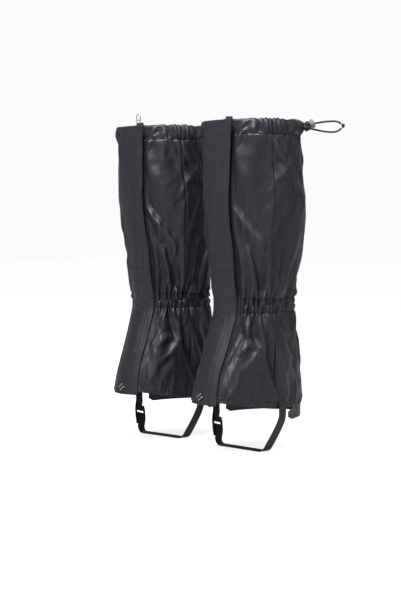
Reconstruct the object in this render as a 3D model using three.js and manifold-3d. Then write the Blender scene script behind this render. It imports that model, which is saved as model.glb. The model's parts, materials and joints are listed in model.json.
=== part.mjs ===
// A pair of tall walking gaiters: two tapered fabric legs with a front zip under a storm flap, a drawcord at the
// top, shirred elastic at the ankle, an elastic hem, a lace hook and an instep strap with a ladder-lock buckle.
// Millimetres, +Z up. The toes point to -Y and the wearer's left leg stands at +X.
import * as THREE from 'three';
import { mergeVertices } from 'three/addons/utils/BufferGeometryUtils.js';
import Module from 'manifold-3d';

const wasm = await Module();
wasm.setup();

// ---- Driving dimensions --------------------------------------------------------------------------------------
const PAIR_SPACING = 156; // between the two legs' centre lines at the hem
const TURN_DEG = { left: 1.5, right: 4 }; // each gaiter turns towards the wearer's left by this much
const LEG_LEAN = 8; // how far the top stands outboard of the hem
const GAP = 0.3; // between pieces that touch or are sewn together

const TOP_Z = 460;
const CASING_HEIGHT = 22; // the drawcord casing round the top
const CALF_Z = 347;
const TAPER_Z = 270; // where the calf has narrowed most of the way to the ankle
const ANKLE_HIGH_Z = 214;
const ANKLE_LOW_Z = 194;
const INSTEP_Z = 150;
const VAMP_Z = 100;
const HEM_Z = 60; // at the sides and the back
const HEM_FRONT_RISE = 16; // the hem is this much higher over the laces
const HEEL_TAB_DROP = 18; // the heel tab hangs this far under the hem

// The shin is straight from the ankle to the top, so that the zip's slider can run along it.
const SHIN_LOW = { middle: 0, front: -66 };
const SHIN_TOP = { middle: -4, front: -78.5 };

function shin(z) {
  const t = (z - ANKLE_HIGH_Z) / (TOP_Z - ANKLE_HIGH_Z);
  return {
    z,
    middle: SHIN_LOW.middle + (SHIN_TOP.middle - SHIN_LOW.middle) * t,
    front: SHIN_LOW.front + (SHIN_TOP.front - SHIN_LOW.front) * t,
  };
}

// The middle and half width across the leg, and the front and back of the leg along Y, from the top down.
const SECTIONS = [
  { ...shin(TOP_Z), half: 70, back: 51.5 },
  { ...shin(TOP_Z - CASING_HEIGHT), half: 72, back: 54 },
  { ...shin(CALF_Z), half: 73, back: 64.5 },
  { ...shin(TAPER_Z), half: 62, back: 64 },
  { ...shin(ANKLE_HIGH_Z), half: 50, back: 62 },
  { z: ANKLE_LOW_Z, middle: 0, half: 49, front: -66, back: 62 },
  { z: INSTEP_Z, middle: 0, half: 53, front: -82, back: 70 },
  { z: VAMP_Z, middle: 0, half: 57, front: -104, back: 82 },
  { z: HEM_Z, middle: 0, half: 59, front: -116, back: 86 },
  { z: HEM_Z - HEEL_TAB_DROP - 2, middle: 0, half: 59.5, front: -118, back: 87 },
];

const CLOTH = 1.2; // coated nylon with its lining
const HEM_BAND = 9; // the elastic binding round the hem
const SEAM_ANGLE = 60; // the side seams of the back panel, from the front, in degrees
const SEAM_ANGLE_ANKLE = 70;
const SEAM_ANGLE_HEM = 91;

const ZIP_TOP_X = 13; // the zip's centre line
const ZIP_LOW_X = 3;
const ZIP_TAPE_REACH = 9.3; // from the centre line to the tape's sewn edge
const ZIP_TOOTH_INNER = 0.9;
const ZIP_TOOTH_OUTER = 2.7;
const ZIP_CLEAR = 4.3; // from the centre line to the fabric's edge

const FLAP_TOP_X = { seam: -33.5, free: 21 };
const FLAP_SPLIT_X = { seam: -28, free: 17 };
const FLAP_HEM_X = { seam: -34, free: 22 };
const FLAP_SPLIT_Z = 229;
const FLAP_CLOTH = 1;
const FLAP_STANDOFF = 2.4; // at the hinge line
const FLAP_TUNNEL = 8; // the room under the flap for the slider and its pull
const FASTENER = 1.2; // thickness of each half of the hook-and-loop
const FASTENER_WIDTH = 14.6;

const STRAP_WIDTH = 16;
const WEBBING = 1.4;
const STRAP_PIVOT_Z = 44;
const STRAP_RAKE_DEG = 16; // the strap slopes forward to the arch
const STRAP_Y = -13;
const ARCH_HALF = 36; // half of the flat run under the boot's arch

const CORD = 2.8;
const LOCK_ANGLE = 128; // where the drawcord leaves the casing, from the front, in degrees
const LOCK_TILT_DEG = 25;
const LOCK_RADIUS = 6.5;

const COLOURS = {
  cloth: { color: 0x3c3a43, roughness: 0.55, metalness: 0 },
  flap: { color: 0x403e47, roughness: 0.55, metalness: 0 },
  elastic: { color: 0x2b2a30, roughness: 0.8, metalness: 0 },
  fastener: { color: 0x1d1c20, roughness: 0.95, metalness: 0 },
  webbing: { color: 0x222424, roughness: 0.85, metalness: 0 },
  zip: { color: 0x202024, roughness: 0.6, metalness: 0 },
  steel: { color: 0xa8a8ac, roughness: 0.3, metalness: 1 },
  slider: { color: 0x55555a, roughness: 0.4, metalness: 0.8 },
  darkPlastic: { color: 0x232327, roughness: 0.5, metalness: 0 },
  greyPlastic: { color: 0x77757a, roughness: 0.5, metalness: 0 },
  cord: { color: 0x2c3b3c, roughness: 0.7, metalness: 0 },
};

// ---- Small tools ---------------------------------------------------------------------------------------------
const { lerp, clamp, degToRad } = THREE.MathUtils;

// Leaves only the positions, with shared corners merged, as a closed mesh needs.
function closed(geometry) {
  const bare = geometry.clone();
  for (const name of Object.keys(bare.attributes)) {
    if (name !== 'position') bare.deleteAttribute(name);
  }
  const merged = mergeVertices(bare, 1e-4);
  merged.computeVertexNormals();
  return merged;
}

function toSolid(geometry) {
  const shape = closed(geometry);
  const vertProperties = new Float32Array(shape.attributes.position.array);
  const triVerts = new Uint32Array(shape.index.array);
  return new wasm.Manifold(new wasm.Mesh({ numProp: 3, vertProperties, triVerts }));
}

function toGeometry(solid) {
  const mesh = solid.getMesh();
  const geometry = new THREE.BufferGeometry();
  geometry.setAttribute('position', new THREE.BufferAttribute(mesh.vertProperties, 3));
  geometry.setIndex(new THREE.BufferAttribute(mesh.triVerts, 1));
  return closed(geometry);
}

function cut(base, ...tools) {
  let solid = toSolid(base);
  for (const tool of tools) solid = solid.subtract(toSolid(tool));
  return toGeometry(solid);
}

function join(...pieces) {
  let solid = toSolid(pieces[0]);
  for (const piece of pieces.slice(1)) solid = solid.add(toSolid(piece));
  return toGeometry(solid);
}

// A box given by its lowest and highest corners.
function block(low, high) {
  const size = high.map((value, axis) => value - low[axis]);
  const middle = high.map((value, axis) => (value + low[axis]) / 2);
  return new THREE.BoxGeometry(...size).translate(...middle);
}

// A box of cells bent into a thin shell: place(column, row, layer) puts each corner, with layer 0 outside.
function shell(columns, rows, place) {
  const geometry = new THREE.BoxGeometry(1, 1, 1, columns, 1, rows);
  const position = geometry.getAttribute('position');
  for (let i = 0; i < position.count; i++) {
    const column = Math.round((position.getX(i) + 0.5) * columns);
    const layer = Math.round(position.getY(i) + 0.5);
    const row = Math.round((position.getZ(i) + 0.5) * rows);
    const point = place(column, row, layer);
    position.setXYZ(i, point.x, point.y, point.z);
  }
  return closed(geometry);
}

// A round cord along a smooth curve through the points.
function cordAlong(points, diameter, sides, steps) {
  const outline = [];
  for (let i = 0; i < sides; i++) {
    const turn = (i / sides) * 2 * Math.PI;
    outline.push(new THREE.Vector2(Math.cos(turn) * diameter / 2, Math.sin(turn) * diameter / 2));
  }
  const path = new THREE.CatmullRomCurve3(points, false, 'centripetal');
  return new THREE.ExtrudeGeometry(new THREE.Shape(outline), { steps, extrudePath: path, bevelEnabled: false });
}

// A strip of webbing whose edge view is a polyline in the XZ plane, centred on Y = 0.
function webbingStrip(points, thickness, width) {
  const line = points.map(([x, z]) => new THREE.Vector2(x, z));
  const sideways = line.map((point, i) => {
    const before = line[Math.max(i - 1, 0)];
    const after = line[Math.min(i + 1, line.length - 1)];
    const into = (i === 0 ? after.clone().sub(point) : point.clone().sub(before)).normalize();
    const out = (i === line.length - 1 ? into.clone() : after.clone().sub(point)).normalize();
    const mitre = new THREE.Vector2(-into.y - out.y, into.x + out.x).normalize();
    const square = new THREE.Vector2(-into.y, into.x);
    return mitre.multiplyScalar(thickness / 2 / Math.max(mitre.dot(square), 0.5));
  });
  const left = line.map((point, i) => point.clone().add(sideways[i]));
  const right = line.map((point, i) => point.clone().sub(sideways[i]));
  const outline = new THREE.Shape([...right, ...left.reverse()]);
  const strip = new THREE.ExtrudeGeometry(outline, { depth: width, bevelEnabled: false });
  return strip.rotateX(Math.PI / 2).translate(0, width / 2, 0);
}

// A local frame whose Y points out of the fabric and whose Z points up it; its X then points to the wearer's right
// on the front of the leg.
function frameAt(origin, out, up) {
  return { origin, along: out.clone().cross(up).normalize(), out: out.clone(), up: up.clone() };
}

function placed(geometry, { origin, along, out, up }) {
  const matrix = new THREE.Matrix4().makeBasis(along, out, up).setPosition(origin);
  return geometry.clone().applyMatrix4(matrix);
}

function inFrame({ origin, along, out, up }, [x, y, z]) {
  return origin.clone().addScaledVector(along, x).addScaledVector(out, y).addScaledVector(up, z);
}

// ---- The form of a leg ---------------------------------------------------------------------------------------
// Angles run from the front (-Y) towards +X. Offsets are outwards from the fabric's outer face.
class LegForm {
  constructor(side) {
    this.lean = side * LEG_LEAN;
  }

  section(z) {
    const last = SECTIONS.length - 1;
    let i = 0;
    while (i < last - 1 && z < SECTIONS[i + 1].z) i++;
    const high = SECTIONS[i];
    const low = SECTIONS[i + 1];
    const t = clamp((high.z - z) / (high.z - low.z), 0, 1);
    const front = lerp(high.front, low.front, t);
    const back = lerp(high.back, low.back, t);
    return {
      x: this.lean * (z - HEM_Z) / (TOP_Z - HEM_Z) + lerp(high.middle, low.middle, t),
      y: (front + back) / 2,
      width: lerp(high.half, low.half, t),
      depth: (back - front) / 2,
    };
  }

  outward(angle, z) {
    const s = this.section(z);
    return new THREE.Vector3(s.depth * Math.sin(angle), -s.width * Math.cos(angle), 0).normalize();
  }

  point(angle, z, offset = 0) {
    const s = this.section(z);
    const skin = new THREE.Vector3(s.x + s.width * Math.sin(angle), s.y - s.depth * Math.cos(angle), z);
    return skin.addScaledVector(this.outward(angle, z), offset);
  }

  // The angle at a distance to the side of the leg's centre, at the front.
  angleAt(x, z) {
    return Math.asin(x / this.section(z).width);
  }
}

// The hem rises over the laces.
function hemHeight(angle) {
  return HEM_Z + HEM_FRONT_RISE * Math.max(Math.cos(angle), 0) ** 1.2;
}

function sideSeam(z) {
  if (z >= TAPER_Z) return degToRad(SEAM_ANGLE);
  if (z >= ANKLE_LOW_Z) {
    return degToRad(lerp(SEAM_ANGLE_ANKLE, SEAM_ANGLE, (z - ANKLE_LOW_Z) / (TAPER_Z - ANKLE_LOW_Z)));
  }
  const t = clamp((z - HEM_Z) / (ANKLE_LOW_Z - HEM_Z), 0, 1);
  return degToRad(lerp(SEAM_ANGLE_HEM, SEAM_ANGLE_ANKLE, t));
}

function zipX(z) {
  const t = clamp((z - ANKLE_HIGH_Z) / (TOP_Z - ANKLE_HIGH_Z), 0, 1);
  return lerp(ZIP_LOW_X, ZIP_TOP_X, t);
}

function flapX(edge, z) {
  if (z >= FLAP_SPLIT_Z) {
    return lerp(FLAP_SPLIT_X[edge], FLAP_TOP_X[edge], (z - FLAP_SPLIT_Z) / (TOP_Z - FLAP_SPLIT_Z));
  }
  const t = clamp((FLAP_SPLIT_Z - z) / (FLAP_SPLIT_Z - HEM_Z), 0, 1);
  return lerp(FLAP_SPLIT_X[edge], FLAP_HEM_X[edge], t);
}

const CASING_Z = TOP_Z - CASING_HEIGHT;
const LEG_LEVELS = [VAMP_Z, INSTEP_Z, ANKLE_LOW_Z, ANKLE_HIGH_Z, (ANKLE_HIGH_Z + TAPER_Z) / 2, TAPER_Z,
  (TAPER_Z + CALF_Z) / 2, CALF_Z, (CALF_Z + CASING_Z) / 2, CASING_Z - GAP / 2];

// The height of each row of cells in a leg panel, which follows the hem at its foot.
function panelHeight(row, angle) {
  return row === 0 ? hemHeight(angle) + HEM_BAND + GAP : LEG_LEVELS[row - 1];
}

// ---- Fabric --------------------------------------------------------------------------------------------------
// A panel from hem band to casing, between seams given as angles that depend on the height.
function legPanel(form, seams, columnsBetween) {
  const columns = columnsBetween.reduce((sum, count) => sum + count, 0);
  const angleOf = (column, z) => {
    let part = 0;
    let rest = column;
    while (rest > columnsBetween[part]) rest -= columnsBetween[part++];
    return lerp(seams[part](z), seams[part + 1](z), rest / columnsBetween[part]);
  };
  return shell(columns, LEG_LEVELS.length, (column, row, layer) => {
    const rough = angleOf(column, VAMP_Z);
    const angle = angleOf(column, panelHeight(row, rough));
    return form.point(angle, panelHeight(row, angle), layer ? -CLOTH : 0);
  });
}

// A band round the leg with constant offsets, between two heights that may follow the angle.
function band(form, { from, to, low, high, outer, inner, columns, rows = 1 }) {
  return shell(columns, rows, (column, row, layer) => {
    const angle = lerp(from, to, column / columns);
    const z = lerp(low(angle), high(angle), row / rows);
    return form.point(angle, z, layer ? inner : outer);
  });
}

// A strip up the front: each knot has x(z), an outer and an inner offset; pull(z, knot) may shift the points.
function frontStrip(form, knots, levels, pull) {
  return shell(knots.length - 1, levels.length - 1, (column, row, layer) => {
    const knot = knots[column];
    const z = typeof levels[row] === 'function' ? levels[row](knot) : levels[row];
    const point = form.point(form.angleAt(knot.x(z), z), z, layer ? knot.inner : knot.outer);
    return pull ? point.add(pull(z, knot)) : point;
  });
}

const seamGap = GAP / 2 / SECTIONS[0].half; // half of the gap in a sewn seam, as an angle
const wholeTurn = 2 * Math.PI;

function backPanel(form) {
  const from = (z) => sideSeam(z) + seamGap;
  const to = (z) => wholeTurn - sideSeam(z) - seamGap;
  return legPanel(form, [from, to], [22]);
}

function zipSidePanel(form) {
  const edge = (z) => form.angleAt(zipX(z) + ZIP_CLEAR, z);
  const tape = (z) => form.angleAt(zipX(z) + ZIP_TAPE_REACH + GAP, z);
  const seam = (z) => sideSeam(z) - seamGap;
  return legPanel(form, [edge, tape, seam], [1, 5]);
}

function flapSidePanel(form) {
  const seam = (z) => seamGap - sideSeam(z);
  const tape = (z) => form.angleAt(zipX(z) - ZIP_TAPE_REACH - GAP, z);
  const edge = (z) => form.angleAt(zipX(z) - ZIP_CLEAR, z);
  return legPanel(form, [seam, tape, edge], [6, 1]);
}

const CASING_OUTER = 1;
const CASING_WALL = 0.8;
const CASING_HOLLOW = 4; // clear depth inside the casing
const CASING_SEAM = 2.5; // sewn flat below the hollow
const CASING_COLUMNS = 40;
const CORD_Z = TOP_Z - 8;
const CORD_SLOT = { half: CORD / 2 + 0.7, height: 9.2 }; // where the cord comes out
const CASING_END_X = ZIP_TAPE_REACH + 1.5;

function casingBand(form, low, high, outer, inner, past) {
  return band(form, {
    from: form.angleAt(zipX(TOP_Z) + CASING_END_X, TOP_Z) - past,
    to: wholeTurn + form.angleAt(zipX(TOP_Z) - CASING_END_X, TOP_Z) + past,
    low: () => low,
    high: () => high,
    outer,
    inner,
    columns: CASING_COLUMNS,
  });
}

// The top casing is a hollow hem, open at its two front ends, with a slot where the drawcord comes out.
function topCasing(form, lock) {
  const depth = CASING_HOLLOW + 2 * CASING_WALL;
  const body = casingBand(form, CASING_Z + GAP / 2, TOP_Z, CASING_OUTER, CASING_OUTER - depth, 0);
  const hollow = casingBand(form, CASING_Z + CASING_SEAM, TOP_Z - CASING_WALL - 0.4,
    CASING_OUTER - CASING_WALL, CASING_OUTER - CASING_WALL - CASING_HOLLOW, 0.06);
  const exit = block([EXIT_T - CORD_SLOT.half, -CASING_WALL - 1.2, -CORD_SLOT.height / 2],
    [EXIT_T + CORD_SLOT.half, 2, CORD_SLOT.height / 2]);
  return cut(body, hollow, placed(exit, lock));
}

const CHANNEL_CORD_COLUMNS = 40;
const CHANNEL_CORD_END = 14; // from the casing's end to the cord's sewn end

function channelCord(form) {
  const reach = CASING_END_X + CHANNEL_CORD_END;
  const from = form.angleAt(zipX(TOP_Z) + reach, CORD_Z);
  const to = wholeTurn + form.angleAt(zipX(TOP_Z) - reach, CORD_Z);
  const middle = CASING_OUTER - CASING_WALL - CASING_HOLLOW / 2;
  const points = [];
  for (let i = 0; i <= CHANNEL_CORD_COLUMNS; i++) {
    points.push(form.point(lerp(from, to, i / CHANNEL_CORD_COLUMNS), CORD_Z, middle));
  }
  return cordAlong(points, CORD, 8, CHANNEL_CORD_COLUMNS);
}

const ANKLE_ELASTIC = { from: 30, to: 325, inset: 0.6, thickness: 1.2 };

function ankleElastic(form) {
  return band(form, {
    from: degToRad(ANKLE_ELASTIC.from),
    to: degToRad(ANKLE_ELASTIC.to),
    low: () => ANKLE_LOW_Z,
    high: () => ANKLE_HIGH_Z,
    outer: -CLOTH - ANKLE_ELASTIC.inset,
    inner: -CLOTH - ANKLE_ELASTIC.inset - ANKLE_ELASTIC.thickness,
    columns: 28,
  });
}

const HEM_THICKNESS = 1.6;

function hemElastic(form) {
  return band(form, {
    from: form.angleAt(ZIP_LOW_X + ZIP_TAPE_REACH + 0.8, HEM_Z),
    to: wholeTurn + form.angleAt(ZIP_LOW_X - ZIP_TAPE_REACH - 0.8, HEM_Z),
    low: (angle) => hemHeight(angle),
    high: (angle) => hemHeight(angle) + HEM_BAND,
    outer: 0,
    inner: -HEM_THICKNESS,
    columns: 40,
  });
}

const HEEL_TAB = { from: 103, to: 257, notch: 9, notchHeight: 7 }; // the notch is the slit behind the strap

function heelTab(form) {
  const from = degToRad(HEEL_TAB.from);
  const notchEnd = degToRad(HEEL_TAB.from + HEEL_TAB.notch);
  return band(form, {
    from,
    to: degToRad(HEEL_TAB.to),
    low: () => HEM_Z - HEEL_TAB_DROP,
    high: (angle) => {
      const t = clamp((angle - from) / (notchEnd - from), 0, 1);
      return HEM_Z - GAP - HEEL_TAB.notchHeight * (1 - t);
    },
    outer: 0,
    inner: -HEM_THICKNESS,
    columns: 20,
  });
}

// ---- The front closure ---------------------------------------------------------------------------------------
const ZIP_LEVELS = [HEM_Z + HEM_FRONT_RISE + 2, ...LEG_LEVELS.slice(0, -1), CASING_Z, TOP_Z - 2];
const TOOTH_TOP = 0.2;
const TOOTH_BOTTOM = -2.4;
const TAPE_TOP = -CLOTH - GAP;
const TAPE_BOTTOM = TAPE_TOP - 0.8;

// One half of the zip: its tape lies under the panel's edge and its coil stands beside the centre line.
function zipHalf(form, side) {
  const knot = (distance, outer, inner) => ({ x: (z) => zipX(z) + side * distance, outer, inner });
  const knots = [
    knot(ZIP_TOOTH_INNER, TOOTH_TOP, TOOTH_BOTTOM),
    knot(ZIP_TOOTH_OUTER, TOOTH_TOP, TOOTH_BOTTOM),
    knot(ZIP_TOOTH_OUTER + 0.1, TAPE_TOP, TAPE_BOTTOM),
    knot(ZIP_TAPE_REACH, TAPE_TOP, TAPE_BOTTOM),
  ];
  return frontStrip(form, side > 0 ? knots : knots.reverse(), ZIP_LEVELS);
}

// The straight line that the slider runs along, with the directions of its own frame.
function zipLine(form) {
  const at = (z) => form.point(form.angleAt(zipX(z), z), z);
  const top = at(TOP_Z - 3);
  const low = at(ANKLE_HIGH_Z + 6);
  const up = top.clone().sub(low).normalize();
  const middle = (TOP_Z + ANKLE_HIGH_Z) / 2;
  const normal = form.outward(form.angleAt(zipX(middle), middle), middle);
  const along = normal.clone().cross(up).normalize();
  return frameAt(top, up.clone().cross(along), up);
}

const SLIDER = { half: 4, low: -4.5, high: 4.5, plate: 1.2, top: 0.9, bottom: -4 };
const PULL = { half: 3.7, length: 17, wire: 1.2, crossbar: 7.5, pivotOut: 3.2 };

// In its own frame X runs across the zip, Y outwards and Z up the zip, with the centre at the slider's middle.
function zipSlider(line) {
  const { half, low, high, plate, top, bottom } = SLIDER;
  const topPlate = block([-half, top, low], [half, top + plate, high]);
  const bottomPlate = block([-half, bottom, low], [half, bottom + 0.9, high]);
  const post = block([-0.35, bottom + 0.5, high - 3], [0.35, top + 0.5, high]);
  const flanges = [-1, 1].map((side) => block(
    [Math.min(side * (half - 0.6), side * half), TAPE_TOP + 0.6, low],
    [Math.max(side * (half - 0.6), side * half), top + 0.5, high],
  ));
  const lug = cut(
    block([-1.3, top + plate - 0.1, -2.2], [1.3, 4.8, 2.2]),
    block([-2, 2.3, -1.2], [2, 4.1, 1.2]),
  );
  const slider = join(topPlate, bottomPlate, post, ...flanges, lug);
  return placed(slider, line);
}

// A flat wire loop with a crossbar, hung from the slider's lug. Direction 1 stands up, -1 hangs down.
function zipPull(line, direction) {
  const { half, length, wire, crossbar, pivotOut } = PULL;
  const tip = length - wire / 2;
  const outline = new THREE.Shape();
  outline.moveTo(-half, -wire / 2);
  outline.lineTo(half, -wire / 2);
  outline.lineTo(half, tip - half);
  outline.absarc(0, tip - half, half, 0, Math.PI, false);
  outline.closePath();
  const inside = half - wire;
  const lower = new THREE.Path([
    new THREE.Vector2(-inside, wire / 2),
    new THREE.Vector2(-inside, crossbar),
    new THREE.Vector2(inside, crossbar),
    new THREE.Vector2(inside, wire / 2),
  ]);
  const upper = new THREE.Path();
  upper.moveTo(-inside, crossbar + wire);
  upper.lineTo(-inside, tip - half);
  upper.absarc(0, tip - half, inside, Math.PI, 0, true);
  upper.lineTo(inside, crossbar + wire);
  upper.closePath();
  outline.holes.push(lower, upper);
  const loop = new THREE.ExtrudeGeometry(outline, { depth: wire, bevelEnabled: false, curveSegments: 8 });
  loop.translate(0, 0, -wire / 2).rotateX(Math.PI / 2);
  if (direction < 0) loop.rotateY(Math.PI);
  loop.translate(0, pivotOut, 0);
  return placed(loop, line);
}

const fastenerLevels = [236, ...LEG_LEVELS.slice(4, -1), CASING_Z - 8];

// One half of the hook-and-loop fastener, between the flap's hinge line and the zip.
function fastenerHalf(form, inner) {
  const knots = [0, 1 / 3, 2 / 3, 1].map((share) => ({
    x: (z) => zipX(z) - 6.2 - FASTENER_WIDTH * (1 - share),
    outer: inner + FASTENER,
    inner,
  }));
  return frontStrip(form, knots, fastenerLevels);
}

// The hinge line of the upper flap runs straight, a little proud of the fabric.
function flapHinge(form) {
  const at = (z) => form.point(form.angleAt(flapX('seam', z), z), z, FLAP_STANDOFF + FLAP_CLOTH / 2);
  return { low: at(FLAP_SPLIT_Z + GAP), high: at(TOP_Z - 1.5) };
}

const FLAP_OVER_FASTENER = 2 * FASTENER + 3 * GAP;
const FLAP_LEVELS = [FLAP_SPLIT_Z + GAP, ...LEG_LEVELS.slice(4), TOP_Z - 1.5];

function stormFlap(form) {
  const hinge = flapHinge(form);
  const layer = (inner) => ({ inner, outer: inner + FLAP_CLOTH });
  const beside = (distance) => (z) => zipX(z) + distance;
  const strip = -6.2 - FASTENER_WIDTH;
  const knots = [
    { x: (z) => flapX('seam', z), ...layer(FLAP_STANDOFF), follow: 1 },
    { x: (z) => (flapX('seam', z) + zipX(z) + strip) / 2, ...layer(FLAP_STANDOFF + 0.4), follow: 0.5 },
    { x: beside(strip - 0.5), ...layer(FLAP_OVER_FASTENER) },
    { x: beside(strip / 3 * 2 - 2), ...layer(FLAP_OVER_FASTENER) },
    { x: beside(strip / 3 - 4), ...layer(FLAP_OVER_FASTENER) },
    { x: beside(-5.8), ...layer(FLAP_OVER_FASTENER) },
    { x: beside(-3.9), ...layer(FLAP_TUNNEL) },
    { x: beside(2), ...layer(FLAP_TUNNEL) },
    { x: (z) => flapX('free', z), ...layer(FLAP_TUNNEL - 0.4) },
  ];
  const straighten = (z, knot) => {
    if (!knot.follow) return new THREE.Vector3();
    const share = (z - hinge.low.z) / (hinge.high.z - hinge.low.z);
    const line = hinge.low.clone().lerp(hinge.high, share);
    const natural = form.point(form.angleAt(flapX('seam', z), z), z, FLAP_STANDOFF + FLAP_CLOTH / 2);
    return line.sub(natural).multiplyScalar(knot.follow);
  };
  return frontStrip(form, knots, FLAP_LEVELS, straighten);
}

const LOWER_FLAP_LIFT = 2.2; // over the zip
const FLAP_FOOT_Z = HEM_Z + HEM_FRONT_RISE - 4; // the flap hangs a little under the hem
const HOOK = { x: -4, z: FLAP_FOOT_Z + 9, turn: 40, bar: 8, barWidth: 2.6, pitch: 5.4 };

// The lower part of the flap stays closed over the instep and carries the lace hook.
function lowerFlap(form) {
  const knot = (x, inner) => ({ x, inner, outer: inner + FLAP_CLOTH });
  const beside = (distance) => (z) => zipX(z) + distance;
  const knots = [
    knot((z) => flapX('seam', z), 0.7),
    knot((z) => lerp(flapX('seam', z), zipX(z) - 6, 0.5), 1.6),
    knot(beside(-12), LOWER_FLAP_LIFT),
    knot(beside(-6), LOWER_FLAP_LIFT),
    knot(beside(0), LOWER_FLAP_LIFT),
    knot(beside(6), LOWER_FLAP_LIFT),
    knot((z) => flapX('free', z), LOWER_FLAP_LIFT),
  ];
  const levels = [FLAP_FOOT_Z, VAMP_Z, (VAMP_Z + INSTEP_Z) / 2, INSTEP_Z, ANKLE_LOW_Z, ANKLE_HIGH_Z, FLAP_SPLIT_Z];
  const flap = frontStrip(form, knots, levels);
  const slots = hookSlots().map((slot) => hookPlaced(form, slot));
  return cut(flap, ...slots);
}

// The lace hook's own frame: X along its bars, Y outwards, Z across them.
function hookPlaced(form, geometry) {
  const angle = form.angleAt(HOOK.x, HOOK.z);
  const here = form.point(angle, HOOK.z);
  const up = form.point(angle, HOOK.z + 4).sub(here).normalize();
  const along = form.outward(angle, HOOK.z).cross(up).normalize();
  return placed(geometry.clone().rotateY(degToRad(HOOK.turn)), frameAt(here, up.clone().cross(along), up));
}

function hookSlots() {
  return [-1, 1].map((side) => {
    const z = side * HOOK.pitch / 2;
    const reach = HOOK.barWidth / 2 - 0.2;
    return block([-HOOK.bar / 2 + 0.6, -1, z - reach], [HOOK.bar / 2 - 0.6, 8, z + reach]);
  });
}

const HOOK_PLATE = { half: 4.2, low: 0.6, high: 1.4 };
const HOOK_BAR = { low: LOWER_FLAP_LIFT + FLAP_CLOTH + 0.7, high: LOWER_FLAP_LIFT + FLAP_CLOTH + 1.9 };

// A pressed steel hook: a plate inside, and two bars outside that clench it through the fabric.
function laceHook(form) {
  const { half: plate, low: inside, high: under } = HOOK_PLATE;
  const pieces = [block([-plate, inside, -plate], [plate, under, plate])];
  for (const side of [-1, 1]) {
    const z = side * HOOK.pitch / 2;
    const half = HOOK.barWidth / 2;
    pieces.push(block([-HOOK.bar / 2, HOOK_BAR.low, z - half], [HOOK.bar / 2, HOOK_BAR.high, z + half]));
    pieces.push(block([1 - HOOK.bar / 2, inside + 0.2, z - 0.7], [HOOK.bar / 2 - 1, HOOK_BAR.high - 0.2, z + 0.7]));
  }
  return hookPlaced(form, join(...pieces));
}

// ---- The instep strap ----------------------------------------------------------------------------------------
const STRAP_X = SECTIONS[8].half + GAP + WEBBING / 2 + 0.1;
const STRAP_END = STRAP_WIDTH / 2; // the strap's ends are round about the pivot line
const STRAP_RAKE = degToRad(STRAP_RAKE_DEG);
const STRAP_DROP = STRAP_PIVOT_Z / Math.cos(STRAP_RAKE); // to the underside, which touches the ground plane
const ARCH_DROP = -STRAP_DROP + WEBBING / 2;
const SIDE_FOOT = { x: ARCH_HALF + 10, z: ARCH_DROP + 9 };

const BUCKLE = {
  width: 22,
  slot: 17,
  half: 1.5,
  bars: [[0, 3], [6.6, 9.2], [14.6, 17.6]],
  start: 10, // along the strap from the top of the arch's bend
};

// A point on the buckle side of the strap: along it from the arch's bend, and outwards from its line.
function buckleSide(along, out) {
  const foot = new THREE.Vector2(-SIDE_FOOT.x, SIDE_FOOT.z);
  const top = new THREE.Vector2(-STRAP_X, STRAP_END);
  const direction = top.clone().sub(foot).normalize();
  const outwards = new THREE.Vector2(-direction.y, direction.x);
  const point = foot.addScaledVector(direction, along).addScaledVector(outwards, out);
  return [point.x, point.y];
}

function strapLength() {
  return Math.hypot(STRAP_X - SIDE_FOOT.x, STRAP_END - SIDE_FOOT.z);
}

// Rakes a geometry built about the pivot line and puts it at the strap's place. Its width stays level under the
// arch, so the webbing twists a little between the arch and the sides.
function raked(geometry) {
  const position = geometry.getAttribute('position');
  for (let i = 0; i < position.count; i++) {
    const [x, width, drop] = [position.getX(i), position.getY(i), position.getZ(i)];
    const twist = STRAP_RAKE * clamp((Math.abs(x) - ARCH_HALF) / (SIDE_FOOT.x - ARCH_HALF), 0, 1);
    const y = drop * Math.sin(STRAP_RAKE) + width * Math.cos(twist);
    const z = drop * Math.cos(STRAP_RAKE) - width * Math.sin(twist);
    position.setXYZ(i, x, STRAP_Y + y, STRAP_PIVOT_Z + z);
  }
  return geometry;
}

// What to cut away so that the end of a strip of webbing is round about the pivot line.
function roundEnd(x) {
  const corner = block([x - 6, -STRAP_WIDTH, 0], [x + 6, STRAP_WIDTH, STRAP_WIDTH]);
  const disc = new THREE.CylinderGeometry(STRAP_END, STRAP_END, 20, 24).rotateZ(Math.PI / 2).translate(x, 0, 0);
  return cut(corner, disc);
}

function instepStrap() {
  const grip = BUCKLE.start + BUCKLE.bars[1][1] + 1.4;
  const points = [
    [STRAP_X, STRAP_END],
    [STRAP_X - 0.6, 0],
    [SIDE_FOOT.x, SIDE_FOOT.z],
    [ARCH_HALF + 7.5, ARCH_DROP + 3.6],
    [ARCH_HALF + 3.5, ARCH_DROP + 0.6],
    [ARCH_HALF, ARCH_DROP],
    [-ARCH_HALF, ARCH_DROP],
    [-ARCH_HALF - 3.5, ARCH_DROP + 0.6],
    [-ARCH_HALF - 7.5, ARCH_DROP + 3.6],
    [-SIDE_FOOT.x, SIDE_FOOT.z],
    buckleSide(BUCKLE.start - 3, -2.7),
    buckleSide(grip, -2.7),
    buckleSide(grip, 2.7),
    buckleSide(BUCKLE.start - 2, 2.7),
    buckleSide(BUCKLE.start - 7, 2.2),
  ];
  return raked(cut(webbingStrip(points, WEBBING, STRAP_WIDTH), roundEnd(STRAP_X)));
}

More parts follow.
